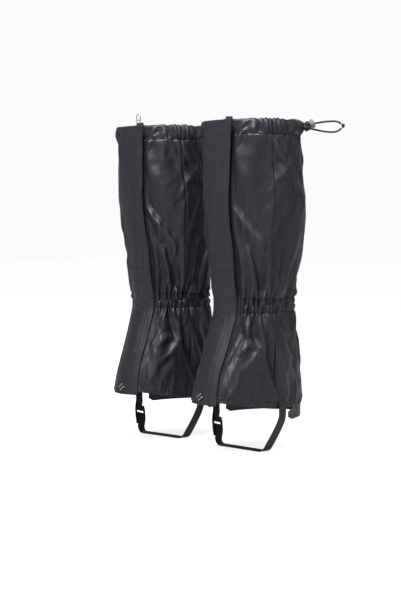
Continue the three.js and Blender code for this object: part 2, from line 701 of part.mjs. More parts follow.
// The short tab that holds the buckle loops round its top bar and is sewn back on itself.
function buckleTab() {
  const loop = BUCKLE.start + BUCKLE.bars[2][0] - 1.3;
  const top = strapLength();
  const points = [
    buckleSide(top, 0),
    buckleSide(top - STRAP_END, 0.4),
    buckleSide(BUCKLE.start + 20, 2.7),
    buckleSide(loop, 2.7),
    buckleSide(loop, -2.7),
    buckleSide(BUCKLE.start + 21, -2.7),
  ];
  return raked(cut(webbingStrip(points, WEBBING, STRAP_WIDTH), roundEnd(-STRAP_X)));
}

function ladderBuckle() {
  const { width, slot, half, bars, start } = BUCKLE;
  const low = bars[0][0];
  const high = bars[2][1];
  const frame = block([-half, -width / 2, low], [half, width / 2, high]);
  const slots = [0, 1].map((i) => block([-half - 1, -slot / 2, bars[i][1]], [half + 1, slot / 2, bars[i + 1][0]]));
  const buckle = cut(frame, ...slots);
  const [x0, z0] = buckleSide(start, 0);
  const [x1, z1] = buckleSide(start + 1, 0);
  const lean = Math.atan2(x1 - x0, z1 - z0);
  return raked(buckle.rotateY(lean).translate(x0, 0, z0));
}

// A webbing patch sewn to the skirt just above each end of the strap.
function strapAnchor(form, side) {
  const z = STRAP_PIVOT_Z + STRAP_END + GAP;
  const s = form.section(z);
  const centre = side > 0 ? Math.PI / 2 : Math.PI * 1.5;
  const shift = side * Math.asin((STRAP_Y - s.y) / s.depth);
  const reach = STRAP_WIDTH / 2 / s.depth;
  return band(form, {
    from: centre + shift - reach,
    to: centre + shift + reach,
    low: () => z,
    high: () => z + 20,
    outer: GAP + WEBBING,
    inner: GAP,
    columns: 3,
    rows: 2,
  });
}

// ---- The drawcord and its lock -------------------------------------------------------------------------------
const EXIT_T = 13; // the slot in the casing lies this far along the rim from the lock
const LOCK_OUT = 8.4; // the lock's centre from the casing
const LOCK = { floor: -5.2, mouth: 4, bore: 5.2, capLow: 6.3, capHigh: 11, cordAxis: 1.2, cordPitch: 4.6 };
const STEM = { radius: 4.9, end: -1.5, slotLow: -0.55, slotHigh: 4.9, slotHalf: 4.1 };

// The frame at the cord lock: its X runs along the rim towards the front.
function lockFrame(form) {
  const angle = degToRad(LOCK_ANGLE);
  return frameAt(form.point(angle, CORD_Z, CASING_OUTER), form.outward(angle, CORD_Z), new THREE.Vector3(0, 0, 1));
}

// The lock's parts are made with their axis on Z and the cord holes along X, then tilted and placed.
function inLock(geometry, lock) {
  const tilt = degToRad(90 - LOCK_TILT_DEG);
  const turned = geometry.clone().rotateX(-tilt).translate(0, LOCK_OUT, 0);
  return placed(turned, lock);
}

function tubeOfRevolution(outline, sides) {
  const points = outline.map(([radius, height]) => new THREE.Vector2(radius, height));
  return new THREE.LatheGeometry(points, sides).rotateX(Math.PI / 2);
}

function lockBody(lock) {
  const { floor, mouth, bore } = LOCK;
  const cup = tubeOfRevolution([
    [0, floor], [LOCK_RADIUS - 0.8, floor], [LOCK_RADIUS, floor + 0.8], [LOCK_RADIUS, mouth - 0.6],
    [LOCK_RADIUS - 0.6, mouth], [bore, mouth], [bore, floor + 0.8], [0, floor + 0.8],
  ], 20);
  const holes = cordHoles(CORD / 2 + 0.6, 20, LOCK.cordAxis);
  return inLock(cut(cup, ...holes), lock);
}

// Two holes across the lock for the two strands of the cord.
function cordHoles(radius, length, height) {
  return [-1, 1].map((side) => new THREE.CylinderGeometry(radius, radius, length, 12)
    .rotateZ(Math.PI / 2)
    .translate(0, side * LOCK.cordPitch / 2, height));
}

function lockPlunger(lock) {
  const { capLow, capHigh } = LOCK;
  const plunger = tubeOfRevolution([
    [0, STEM.end], [STEM.radius, STEM.end], [STEM.radius, capLow], [LOCK_RADIUS - 0.6, capLow],
    [LOCK_RADIUS, capLow + 0.6], [LOCK_RADIUS, capHigh - 1.2], [LOCK_RADIUS - 1.2, capHigh], [0, capHigh],
  ], 20);
  const slot = block([-20, -STEM.slotHalf, STEM.slotLow], [20, STEM.slotHalf, STEM.slotHigh]);
  return inLock(cut(plunger, slot), lock);
}

const SPRING = { radius: 3.4, wire: 0.7, turns: 2.2, steps: 26 };

function lockSpring(lock) {
  const { radius, wire, turns, steps } = SPRING;
  const low = LOCK.floor + 0.8 + wire / 2 + 0.15;
  const high = STEM.end - wire / 2 - 0.15;
  const points = [];
  for (let i = 0; i <= steps; i++) {
    const turn = (i / steps) * turns * 2 * Math.PI;
    points.push(new THREE.Vector3(radius * Math.cos(turn), radius * Math.sin(turn), lerp(low, high, i / steps)));
  }
  return inLock(cordAlong(points, wire, 6, steps), lock);
}

// Each strand's route in the lock's frame: along the rim, outwards and up, from the casing to the knot.
const UPPER_STRAND = [
  [13, -0.9, 2.3], [13, 1.5, 2.3], [12.4, 4.2, 2.3], [10.6, 6.8, 2.4], [7.8, 8.3, 2.5], [4, 8.5, 2.6],
  [0, 8.5, 2.6], [-4.4, 8.5, 2.6], [-8, 9.2, 2.9], [-10.8, 11.8, 3.3], [-11.6, 15.4, 3.8], [-10.6, 20, 4.6],
  [-8.6, 26, 5.6], [-6, 33, 6.5], [-3.6, 41, 7], [-1.8, 48, 6.8], [-0.6, 53, 5.2], [-0.2, 55.9, 3.2],
];
const LOWER_STRAND = [
  [13, -0.9, -2.3], [13, 1.5, -2.3], [12.6, 5, -2.2], [10.8, 8.2, -1.9], [7.8, 10.1, -1.7], [4, 10.5, -1.6],
  [0, 10.5, -1.6], [-4.4, 10.5, -1.6], [-8.2, 11.3, -1.9], [-10.7, 14, -2.5], [-11.2, 18, -3.4], [-10, 23, -4.6],
  [-8, 29, -6], [-5.4, 36, -7.3], [-3, 43, -7.9], [-1.4, 49, -7.4], [-0.4, 53.6, -5.2], [-0.1, 56.4, -2.7],
];
const KNOT = { out: 58.6, up: 0.9, radius: 3.5 };

function strand(route, lock) {
  return cordAlong(route.map((place) => inFrame(lock, place)), CORD, 8, 30);
}

function cordKnot(lock) {
  const ball = new THREE.IcosahedronGeometry(KNOT.radius, 1).scale(1, 0.85, 1.1);
  return placed(ball.translate(0, KNOT.out, KNOT.up), lock);
}

// ---- Assembly ------------------------------------------------------------------------------------------------
function gaiter(prefix, side, pullDirection) {
  const group = new THREE.Group();
  const form = new LegForm(side);
  const lock = lockFrame(form);
  const line = zipLine(form);
  const hinge = flapHinge(form);
  const add = (name, finish, geometry) => {
    const material = new THREE.MeshStandardMaterial(COLOURS[finish]);
    const mesh = new THREE.Mesh(geometry, material);
    mesh.name = `${prefix}_${name}`;
    group.add(mesh);
  };
  add('back_panel', 'cloth', backPanel(form));
  add('zip_side_panel', 'cloth', zipSidePanel(form));
  add('flap_side_panel', 'cloth', flapSidePanel(form));
  add('top_casing', 'cloth', topCasing(form, lock));
  add('ankle_elastic', 'elastic', ankleElastic(form));
  add('hem_elastic', 'elastic', hemElastic(form));
  add('heel_tab', 'cloth', heelTab(form));
  add('zip_half_inner', 'zip', zipHalf(form, -1));
  add('zip_half_outer', 'zip', zipHalf(form, 1));
  add('zip_slider', 'slider', zipSlider(line));
  add('zip_pull', 'steel', zipPull(line, pullDirection));
  add('loop_strip', 'fastener', fastenerHalf(form, GAP));
  add('hook_strip', 'fastener', fastenerHalf(form, 2 * GAP + FASTENER));
  add('storm_flap', 'flap', stormFlap(form));
  add('lower_flap', 'flap', lowerFlap(form));
  add('lace_hook', 'steel', laceHook(form));
  add('strap_anchor', 'webbing', strapAnchor(form, 1));
  add('tab_anchor', 'webbing', strapAnchor(form, -1));
  add('instep_strap', 'webbing', instepStrap());
  add('buckle_tab', 'webbing', buckleTab());
  add('ladder_buckle', 'darkPlastic', ladderBuckle());
  add('channel_cord', 'cord', channelCord(form));
  add('cord_strand_upper', 'cord', strand(UPPER_STRAND, lock));
  add('cord_strand_lower', 'cord', strand(LOWER_STRAND, lock));
  add('cord_knot', 'cord', cordKnot(lock));
  add('lock_body', 'darkPlastic', lockBody(lock));
  add('lock_plunger', 'greyPlastic', lockPlunger(lock));
  add('lock_spring', 'steel', lockSpring(lock));
  group.position.x = side * PAIR_SPACING / 2;
  group.rotation.z = degToRad(TURN_DEG[prefix]);
  group.userData.axes = {
    zipSlide: { at: line.origin, along: line.up.clone().negate() },
    zipPull: { at: inFrame(line, [0, PULL.pivotOut, 0]), along: line.along.clone().multiplyScalar(-pullDirection) },
    flap: { at: hinge.low, along: hinge.low.clone().sub(hinge.high).normalize() },
    plunger: { at: lock.origin, along: lock.out.clone().multiplyScalar(-Math.cos(degToRad(LOCK_TILT_DEG)))
      .addScaledVector(lock.up, -Math.sin(degToRad(LOCK_TILT_DEG))) },
    strap: { at: new THREE.Vector3(0, STRAP_Y, STRAP_PIVOT_Z), along: new THREE.Vector3(1, 0, 0) },
  };
  return group;
}

const gaiters = new THREE.Group();
gaiters.add(gaiter('left', 1, -1));
gaiters.add(gaiter('right', -1, 1));

export default gaiters;
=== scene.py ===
"""A pair of tall walking gaiters: cloth legs, zip, storm flap, strap, drawcord and lock, in metres."""
import json
import logging
import math
from dataclasses import dataclass
from enum import Enum
from typing import Callable, Iterable, Sequence

import bmesh
import bpy
import numpy as np
from mathutils import Matrix, Vector

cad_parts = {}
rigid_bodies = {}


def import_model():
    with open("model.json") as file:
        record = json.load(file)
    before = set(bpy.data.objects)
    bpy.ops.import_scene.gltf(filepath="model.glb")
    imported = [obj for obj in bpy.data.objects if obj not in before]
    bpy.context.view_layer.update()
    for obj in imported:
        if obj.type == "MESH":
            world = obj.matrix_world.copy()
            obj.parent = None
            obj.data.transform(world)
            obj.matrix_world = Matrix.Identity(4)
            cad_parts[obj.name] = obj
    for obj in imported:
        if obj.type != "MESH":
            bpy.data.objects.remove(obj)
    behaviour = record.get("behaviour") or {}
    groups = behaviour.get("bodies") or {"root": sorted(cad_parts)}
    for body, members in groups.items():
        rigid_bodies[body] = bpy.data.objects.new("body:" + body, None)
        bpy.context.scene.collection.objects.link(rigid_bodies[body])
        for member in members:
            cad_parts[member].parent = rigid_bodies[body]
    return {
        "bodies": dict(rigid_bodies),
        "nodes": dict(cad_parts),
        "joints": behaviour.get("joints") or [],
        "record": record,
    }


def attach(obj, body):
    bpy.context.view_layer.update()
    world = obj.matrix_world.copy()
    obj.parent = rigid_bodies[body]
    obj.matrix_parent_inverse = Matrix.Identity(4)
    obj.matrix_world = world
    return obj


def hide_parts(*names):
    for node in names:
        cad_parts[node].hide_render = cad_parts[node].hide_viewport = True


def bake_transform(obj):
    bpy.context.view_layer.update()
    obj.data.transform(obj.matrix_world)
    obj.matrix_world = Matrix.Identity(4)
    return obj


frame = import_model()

LOG = logging.getLogger("gaiters")
MM = 0.001
TURN = 2 * math.pi
Array = np.ndarray
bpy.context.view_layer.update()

# ---- Sizes shared with the solids, in millimetres ------------------------------------------------
PAIR_SPACING = 156.0
LEG_LEAN = 8.0
TOP_Z = 460.0
CASING_Z = 438.0
ANKLE_HIGH_Z = 214.0
ANKLE_LOW_Z = 194.0
HEM_Z = 60.0
HEM_FRONT_RISE = 16.0
HEM_BAND = 9.0
HEEL_TAB_DROP = 18.0
CLOTH = 0.9
SHIN_LOW = (0.0, -66.0)
SHIN_TOP = (-4.0, -78.5)
ZIP_REACH = 9.3
ZIP_CLEAR = 4.3
ZIP_LOW_X = 3.0
ZIP_TOP_X = 13.0
FLAP_SPLIT_Z = 229.0
FLAP_FOOT_Z = 72.0
CORD = 2.8
CORD_Z = 452.0
LOCK_ANGLE = 128.0


def shin_row(z: float, half: float, back: float) -> tuple[float, ...]:
    """One section of the straight shin: height, middle, front, half width and back."""
    share = (z - ANKLE_HIGH_Z) / (TOP_Z - ANKLE_HIGH_Z)
    middle = SHIN_LOW[0] + (SHIN_TOP[0] - SHIN_LOW[0]) * share
    front = SHIN_LOW[1] + (SHIN_TOP[1] - SHIN_LOW[1]) * share
    return z, middle, front, half, back


# Height, middle across the leg, front, half width and back, from the ground up.
SECTIONS = np.array([
    (40.0, 0.0, -118.0, 59.5, 87.0),
    (60.0, 0.0, -116.0, 59.0, 86.0),
    (100.0, 0.0, -104.0, 57.0, 82.0),
    (150.0, 0.0, -82.0, 53.0, 70.0),
    (194.0, 0.0, -66.0, 49.0, 62.0),
    shin_row(214.0, 50.0, 62.0),
    shin_row(270.0, 62.0, 64.0),
    shin_row(347.0, 73.0, 64.5),
    shin_row(438.0, 72.0, 54.0),
    shin_row(460.0, 70.0, 51.5),
])


class Side(Enum):
    """The two gaiters: which leg, which way is outboard, how far it turns and whether its pull stands up."""

    LEFT = ("left", 1, 1.5, -1)
    RIGHT = ("right", -1, 4.0, 1)

    @property
    def prefix(self) -> str:
        """The start of each of its pieces' names."""
        return self.value[0]

    @property
    def outboard(self) -> int:
        """1 where the leg stands at +X, -1 at -X."""
        return self.value[1]

    @property
    def turn(self) -> float:
        """The turn about the vertical, in radians."""
        return math.radians(self.value[2])

    @property
    def pull(self) -> int:
        """1 where the zip's pull stands up, -1 where it hangs."""
        return self.value[3]


# ---- The form of a leg ---------------------------------------------------------------------------
def smoothstep(value: Array) -> Array:
    """A smooth rise from 0 to 1 as value goes from 0 to 1."""
    share = np.clip(value, 0, 1)
    return share * share * (3 - 2 * share)


def hem_height(angle: Array) -> Array:
    """The height of the hem, which rises over the laces."""
    return HEM_Z + HEM_FRONT_RISE * np.maximum(np.cos(angle), 0) ** 1.2


def zip_x(z: Array) -> Array:
    """The zip's distance from the middle of the leg."""
    share = np.clip((np.asarray(z, float) - ANKLE_HIGH_Z) / (TOP_Z - ANKLE_HIGH_Z), 0, 1)
    return ZIP_LOW_X + (ZIP_TOP_X - ZIP_LOW_X) * share


def flap_seam_x(z: Array) -> Array:
    """Where the flap is sewn to the panel."""
    return np.interp(z, [HEM_Z, FLAP_SPLIT_Z, TOP_Z], [-34.0, -28.0, -33.5])


def flap_free_x(z: Array) -> Array:
    """Where the flap's free edge lies."""
    heights = [HEM_Z, 86, 117, 163, 188, FLAP_SPLIT_Z, 284, 310, 334, 360, 408, 440, TOP_Z]
    places = [21.5, 18.0, 15.5, 16.5, 17.0, 17.0, 16.2, 14.0, 13.0, 13.2, 16.5, 19.5, 21.0]
    return np.interp(z, heights, places)


def side_seam(z: Array) -> Array:
    """The angle of the seam between the front and back panels."""
    return np.radians(np.interp(z, [HEM_Z, ANKLE_LOW_Z, 270.0], [91.0, 70.0, 60.0]))


class LegForm:
    """The leg that the cloth follows. Angles run from the front (-Y) towards +X; offsets point outwards."""

    def __init__(self, side: Side) -> None:
        self.side = side
        self.levels = np.arange(30.0, 475.0, 1.0)
        raw = [np.interp(self.levels, SECTIONS[:, 0], SECTIONS[:, i]) for i in range(1, 5)]
        reach = np.arange(-24, 25)
        weight = np.exp(-(reach / 8.0) ** 2)
        padded = [np.pad(row, 24, mode="reflect", reflect_type="odd") for row in raw]
        self.smooth = [np.convolve(row, weight / weight.sum(), mode="valid") for row in padded]

    def section(self, z: Array, exact: bool = False) -> tuple[Array, Array, Array, Array]:
        """The middle in X and Y, the half width and the half depth at heights.

        Args:
            z: heights in millimetres.
            exact: True for the straight-sided sections that the solids have.

        Returns:
            Four arrays, one value for each height.
        """
        z = np.asarray(z, float)
        if exact:
            middle, front, half, back = (np.interp(z, SECTIONS[:, 0], SECTIONS[:, i]) for i in range(1, 5))
        else:
            middle, front, half, back = (np.interp(z, self.levels, row) for row in self.smooth)
        lean = self.side.outboard * LEG_LEAN * (z - HEM_Z) / (TOP_Z - HEM_Z)
        return lean + middle, (front + back) / 2, half, (back - front) / 2

    def outward(self, angle: Array, z: Array, exact: bool = False) -> Array:
        """The directions out of the cloth, as rows."""
        _, _, half, depth = self.section(z, exact)
        rows = np.stack([depth * np.sin(angle), -half * np.cos(angle), 0 * half + 0 * angle], -1)
        return rows / np.linalg.norm(rows, axis=-1, keepdims=True)

    def point(self, angle: Array, z: Array, offset: Array = 0.0, exact: bool = False) -> Array:
        """Points at angles, heights and offsets, as rows in millimetres in the leg's own frame."""
        angle, z, offset = np.broadcast_arrays(np.asarray(angle, float), z, offset)
        x, y, half, depth = self.section(z, exact)
        skin = np.stack([x + half * np.sin(angle), y - depth * np.cos(angle), z], -1)
        return skin + self.outward(angle, z, exact) * offset[..., None]

    def angle_at(self, x: Array, z: Array) -> Array:
        """The angle at a distance to the side of the leg's middle, at the front."""
        return np.arcsin(np.asarray(x, float) / self.section(z)[2])

    def world(self, rows: Array) -> Array:
        """Rows in the leg's frame, put in the row frame in metres."""
        rows = np.asarray(rows, float)
        cos, sin = math.cos(self.side.turn), math.sin(self.side.turn)
        x = cos * rows[..., 0] - sin * rows[..., 1] + self.side.outboard * PAIR_SPACING / 2
        y = sin * rows[..., 0] + cos * rows[..., 1]
        return np.stack([x, y, rows[..., 2]], -1) * MM


@dataclass(frozen=True)
class LocalFrame:
    """A frame on the leg: X along, Y out of the cloth and Z up, with its origin in millimetres."""

    origin: Array
    along: Array
    out: Array
    up: Array

    def rows(self, places: Array) -> Array:
        """Places in this frame, as rows in the leg's frame."""
        places = np.asarray(places, float)
        return (self.origin + places[..., 0:1] * self.along + places[..., 1:2] * self.out
                + places[..., 2:3] * self.up)


# ---- Folds ---------------------------------------------------------------------------------------
@dataclass(frozen=True)
class Gather:
    """Pleats that run away from a gathered line."""

    line: float  # the line's height
    upwards: bool
    pitch: float
    reach: float
    height: float
    width: float
    seed: int
    under: float = 4.0  # how far it runs on past its line

    def heights(self, angle: Array, z: Array, radius: float) -> Array:
        """How far the pleats lift the cloth, in millimetres."""
        rng = np.random.default_rng(self.seed)
        count = int(TURN * radius / self.pitch)
        distance = (z - self.line) * (1 if self.upwards else -1)
        near = np.maximum(distance, 0)
        total = np.zeros_like(z)
        for i in range(count):
            centre = (i + 0.75 * rng.random()) / count * TURN
            reach = self.reach * (0.35 + 1.3 * rng.random() ** 1.6)
            height = self.height * (0.45 + 0.9 * rng.random())
            drift = rng.normal(0, 0.16)
            width = self.width * (0.75 + 0.6 * rng.random()) * (1 + near / (reach * 1.5))
            across = (angle - centre - drift * near / radius + math.pi) % TURN - math.pi
            shape = np.exp(-(np.abs(across) * radius / width) ** 1.45)
            total += height * shape * np.exp(-((near / reach) ** 1.3))
        return (total - self.height * 0.42 * np.exp(-near / self.reach)) * smoothstep((distance + self.under) / 5)


@dataclass(frozen=True)
class Stroke:
    """One fold: a polyline of (angle in degrees, height), how far it stands out and how wide it is."""

    line: tuple[tuple[float, float], ...]
    height: float
    width: float
    lean: float = 0.0  # above 0 the fold is steeper on its right, looking at the cloth

    def heights(self, angle: Array, z: Array, radius: Array) -> Array:
        """How far the fold lifts the cloth, in millimetres."""
        x, y = np.degrees((angle + math.pi) % TURN - math.pi), z
        best = np.full(z.shape, 1e9)
        value = np.zeros_like(z)
        spans = list(zip(self.line[:-1], self.line[1:]))
        for i, (start, end) in enumerate(spans):
            scale = radius * math.pi / 180
            ax, ay = (x - start[0]) * scale, y - start[1]
            bx, by = (end[0] - start[0]) * scale, end[1] - start[1]
            length = np.hypot(bx, by)
            share = np.clip((ax * bx + ay * by) / length**2, 0, 1)
            dx, dy = ax - share * bx, ay - share * by
            side = np.sign(bx * dy - by * dx)
            distance = np.hypot(dx, dy)
            width = self.width * (1 + self.lean * side)
            along = (i + share) / len(spans)
            taper = np.sin(math.pi * (0.06 + 0.88 * along)) ** 0.7
            soft = np.sqrt(distance**2 + (0.2 * width) ** 2) - 0.2 * width
            shape = np.exp(-((soft / width) ** 1.25)) - 0.35 * np.exp(-(((distance - 2.1 * width) / width) ** 2))
            nearer = distance < best
            value = np.where(nearer, 1.35 * self.height * taper * shape, value)
            best = np.minimum(best, distance)
        return value


GATHERS = (
    Gather(ANKLE_HIGH_Z, True, 8.5, 25.0, 6.2, 2.5, 3, 12.0),
    Gather(ANKLE_HIGH_Z, True, 19.0, 62.0, 6.2, 5.2, 8, 12.0),
    Gather(ANKLE_LOW_Z, False, 8.5, 23.0, 6.2, 2.5, 5, 12.0),
    Gather(ANKLE_LOW_Z, False, 20.0, 60.0, 6.0, 5.4, 11, 12.0),
    Gather(CASING_Z, False, 9.0, 15.0, 2.2, 2.4, 17),
    Gather(CASING_Z, False, 24.0, 46.0, 3.0, 5.5, 21),
    Gather(HEM_Z + 6, True, 6.0, 14.0, 2.0, 1.7, 29),
    Gather(HEM_Z + 6, True, 17.0, 34.0, 2.4, 4.6, 31),
)

# The folds that stand out on the side that faces forward and outboard, and some of the same kind elsewhere.
STROKES = (
    Stroke(((74, 388), (60, 352), (50, 290)), 2.6, 11.0, 0.45),
    Stroke(((20, 398), (32, 372), (40, 340)), 1.8, 14.0),
    Stroke(((66, 350), (74, 300), (76, 250)), -2.6, 10.0),
    Stroke(((100, 372), (104, 330), (98, 280)), 2.4, 10.0),
    Stroke(((40, 188), (36, 150), (30, 100)), 2.0, 9.0),
    Stroke(((72, 186), (86, 140), (96, 96)), 2.2, 8.0, 0.3),
    Stroke(((7, 345), (26, 318), (48, 287)), 3.4, 6.0, -0.35),
    Stroke(((9, 332), (17, 298), (25, 262)), 2.6, 4.5, -0.3),
    Stroke(((29, 304), (40, 268), (53, 224)), -3.2, 4.5, 0.2),
    Stroke(((34, 283), (40, 250), (43, 224)), 3.0, 3.6),
    Stroke(((58, 292), (61, 256), (63, 222)), 3.4, 4.6, 0.2),
    Stroke(((50, 270), (52, 246), (54, 222)), -3.0, 3.4),
    Stroke(((76, 300), (74, 262), (72, 224)), 2.6, 4.4, -0.2),
    Stroke(((96, 292), (90, 258), (84, 220)), 3.0, 5.2),
    Stroke(((38, 455), (29, 446), (17, 434)), -2.6, 3.2, 0.3),
    Stroke(((33, 448), (24, 438), (15, 422)), 3.0, 4.2, -0.3),
    Stroke(((54, 436), (76, 402), (98, 362)), 2.3, 4.6, 0.3),
    Stroke(((72, 436), (83, 408), (92, 374)), 1.9, 3.8),
    Stroke(((86, 432), (100, 408), (112, 378)), 2.2, 4.2, -0.2),
    Stroke(((43, 426), (47, 412), (51, 398)), -1.8, 6.5),
    Stroke(((50, 352), (62, 376), (74, 388), (92, 368)), 2.0, 5.5, 0.35),
    Stroke(((18, 404), (30, 372), (34, 338)), 1.3, 8.0),
    Stroke(((74, 352), (66, 322), (58, 296)), 1.8, 6.0, -0.25),
    Stroke(((104, 350), (92, 326), (82, 300)), 2.2, 6.0, 0.2),
    Stroke(((46, 198), (57, 174), (61, 150), (56, 124)), 3.3, 4.6, 0.2),
    Stroke(((36, 142), (46, 154), (56, 149)), 2.6, 4.0, 0.2),
    Stroke(((44, 118), (52, 130), (57, 146)), 2.0, 3.6),
    Stroke(((57, 192), (74, 134), (91, 76)), -3.2, 4.6, 0.25),
    Stroke(((66, 192), (84, 134), (101, 80)), 2.6, 5.0, -0.2),
    Stroke(((33, 162), (28, 146), (22, 128)), 1.6, 2.6),
    Stroke(((78, 190), (94, 150), (112, 104)), 2.4, 4.4),
    Stroke(((34, 190), (38, 172), (44, 160)), 2.2, 3.4),
    Stroke(((98, 186), (104, 160), (124, 128)), -2.4, 4.0),
    Stroke(((-58, 330), (-50, 300), (-46, 262)), 2.6, 5.0),
    Stroke(((-72, 310), (-64, 270), (-60, 226)), -2.6, 4.6),
    Stroke(((-48, 186), (-58, 150), (-80, 100)), 2.8, 4.8, 0.2),
    Stroke(((-88, 300), (-96, 262), (-92, 224)), 3.0, 5.2, 0.2),
    Stroke(((128, 338), (140, 300), (146, 252)), 2.8, 6.0, -0.3),
    Stroke(((176, 322), (162, 288), (166, 240)), 3.0, 6.5, 0.2),
    Stroke(((-150, 336), (-140, 296), (-146, 246)), 2.8, 6.0, 0.3),
    Stroke(((-116, 346), (-124, 316), (-120, 270)), 2.4, 5.5),
    Stroke(((150, 186), (142, 150), (150, 108)), 2.8, 5.4, 0.3),
    Stroke(((-172, 184), (-160, 140), (-166, 96)), 3.0, 5.4, -0.3),
    Stroke(((-130, 186), (-138, 142), (-124, 100)), -2.6, 5.0),
    Stroke(((124, 430), (138, 398), (150, 352)), 2.2, 5.4, 0.25),
    Stroke(((-160, 434), (-152, 396), (-158, 354)), 2.2, 6.0, -0.2),
    Stroke(((-96, 430), (-106, 392), (-98, 350)), 2.0, 6.0, 0.25),
)


class Folds:
    """How far the cloth of one leg stands out from its form."""

    def __init__(self, form: LegForm) -> None:
        self.form = form
        self.shift = 0 if form.side is Side.LEFT else 3

    def calm(self, angle: Array, z: Array) -> Array:
        """0 where the cloth lies flat under the flap and at the zip, and 1 away from them."""
        turned = (angle + math.pi) % TURN - math.pi
        half = self.form.section(z)[2]
        x = np.where(np.abs(turned) < math.pi / 2, half * np.sin(turned), 99.0 * np.sign(turned))
        right = smoothstep((x - flap_free_x(z) + 1.0) / 9.0)
        left = smoothstep((flap_seam_x(z) - x) / 9.0)
        return np.maximum(right, left)

    def heights(self, angle: Array, z: Array) -> Array:
        """The offset of the cloth's outer face, in millimetres."""
        angle, z = np.broadcast_arrays(np.asarray(angle, float), np.asarray(z, float))
        radius = 66.0
        total = np.zeros(z.shape)
        for gather in GATHERS:
            level = z - (hem_height(angle) - HEM_Z) * (gather.line < 100)
            total += gather.heights(angle + 0.02 * self.shift, level, radius)
        local = np.interp(z, [60, 150, 200, 270, 347, 460], [82.0, 66.0, 58.0, 64.0, 70.0, 66.0])
        for stroke in STROKES:
            total += stroke.heights(angle, z, local)
        total += self.drape(angle, z) + self.crumple(angle, z)
        total = np.where(total > 0, 9.0 * np.tanh(total / 9.0), 7.0 * np.tanh(total / 7.0))
        band = smoothstep((z - ANKLE_LOW_Z + 3) / 5) * smoothstep((ANKLE_HIGH_Z + 3 - z) / 5)
        total = total * (1 - 0.2 * band) + 0.8 * self.shirring(angle, z) * band
        for row in (ANKLE_LOW_Z, ANKLE_HIGH_Z):
            total = total - 0.55 * np.exp(-(((z - row) / 1.5) ** 2))
        return total * self.calm(angle, z)

    def shirring(self, angle: Array, z: Array) -> Array:
        """The small puffs between the two stitched rows of the ankle's elastic."""
        swell = np.sin(np.pi * np.clip((z - ANKLE_LOW_Z) / (ANKLE_HIGH_Z - ANKLE_LOW_Z), 0, 1)) ** 0.8
        phase = angle * 62.0 / 6.6 + 0.9 * np.sin(angle * 7) + 0.5 * np.sin(angle * 17 + 1)
        puff = np.abs(np.sin(phase * math.pi)) ** 0.8
        middle_row = np.exp(-(((z - 204.0) / 1.2) ** 2))
        return (4.2 * puff * (0.45 + 0.55 * swell) - 2.2) * (1 - 0.35 * middle_row)

    def drape(self, angle: Array, z: Array) -> Array:
        """Long, shallow waves over the whole leg."""
        rng = np.random.default_rng(41 + self.shift)
        total = np.zeros_like(z)
        for _ in range(9):
            turns = int(rng.integers(2, 8))
            rise = TURN / rng.uniform(130, 330) * rng.choice([-1, 1])
            total += rng.uniform(0.35, 0.85) * np.sin(angle * turns + z * rise + rng.uniform(0, TURN))
        return total

    def crumple(self, angle: Array, z: Array) -> Array:
        """Small sharp creases, as coated nylon keeps."""
        rng = np.random.default_rng(57 + self.shift)
        total = np.zeros_like(z)
        for _ in range(10):
            turns = int(rng.integers(5, 15))
            rise = TURN / rng.uniform(60, 150) * rng.choice([-1, 1])
            wave = np.sin(angle * turns + z * rise + 1.4 * np.sin(angle * 5 + z / 31) + rng.uniform(0,
                                                                                                    TURN))
            total += rng.uniform(0.07, 0.2) * (1 - 2 * np.abs(wave))
        return total


# ---- Nodes and finishes --------------------------------------------------------------------------
def linear(hex_colour: str) -> tuple[float, float, float, float]:
    """An sRGB hex colour as the linear colour that a shader takes."""
    parts = [int(hex_colour[i:i + 2], 16) / 255 for i in (1, 3, 5)]
    rgb = [p / 12.92 if p <= 0.04045 else ((p + 0.055) / 1.055) ** 2.4 for p in parts]
    return rgb[0], rgb[1], rgb[2], 1.0


def add_node(tree: bpy.types.NodeTree, kind: str, inputs: dict | None = None,
             **settings: object) -> bpy.types.Node:
    """Adds a node.

    Args:
        tree: the material's node tree.
        kind: the node's type name, without "ShaderNode".
        inputs: for each input's name or number, a value, or another node's output socket to link.
        **settings: the node's own settings.

    Returns:
        The new node.
    """
    node = tree.nodes.new("ShaderNode" + kind)
    for name, value in settings.items():
        setattr(node, name, value)
    for name, value in (inputs or {}).items():
        if isinstance(value, bpy.types.NodeSocket):
            tree.links.new(value, node.inputs[name])
        else:
            node.inputs[name].default_value = value
    return node


def wave_scale(pitch_mm: float) -> float:
    """The Wave Texture's scale that repeats every pitch, on coordinates in metres."""
    return TURN / 20 / (pitch_mm * MM)


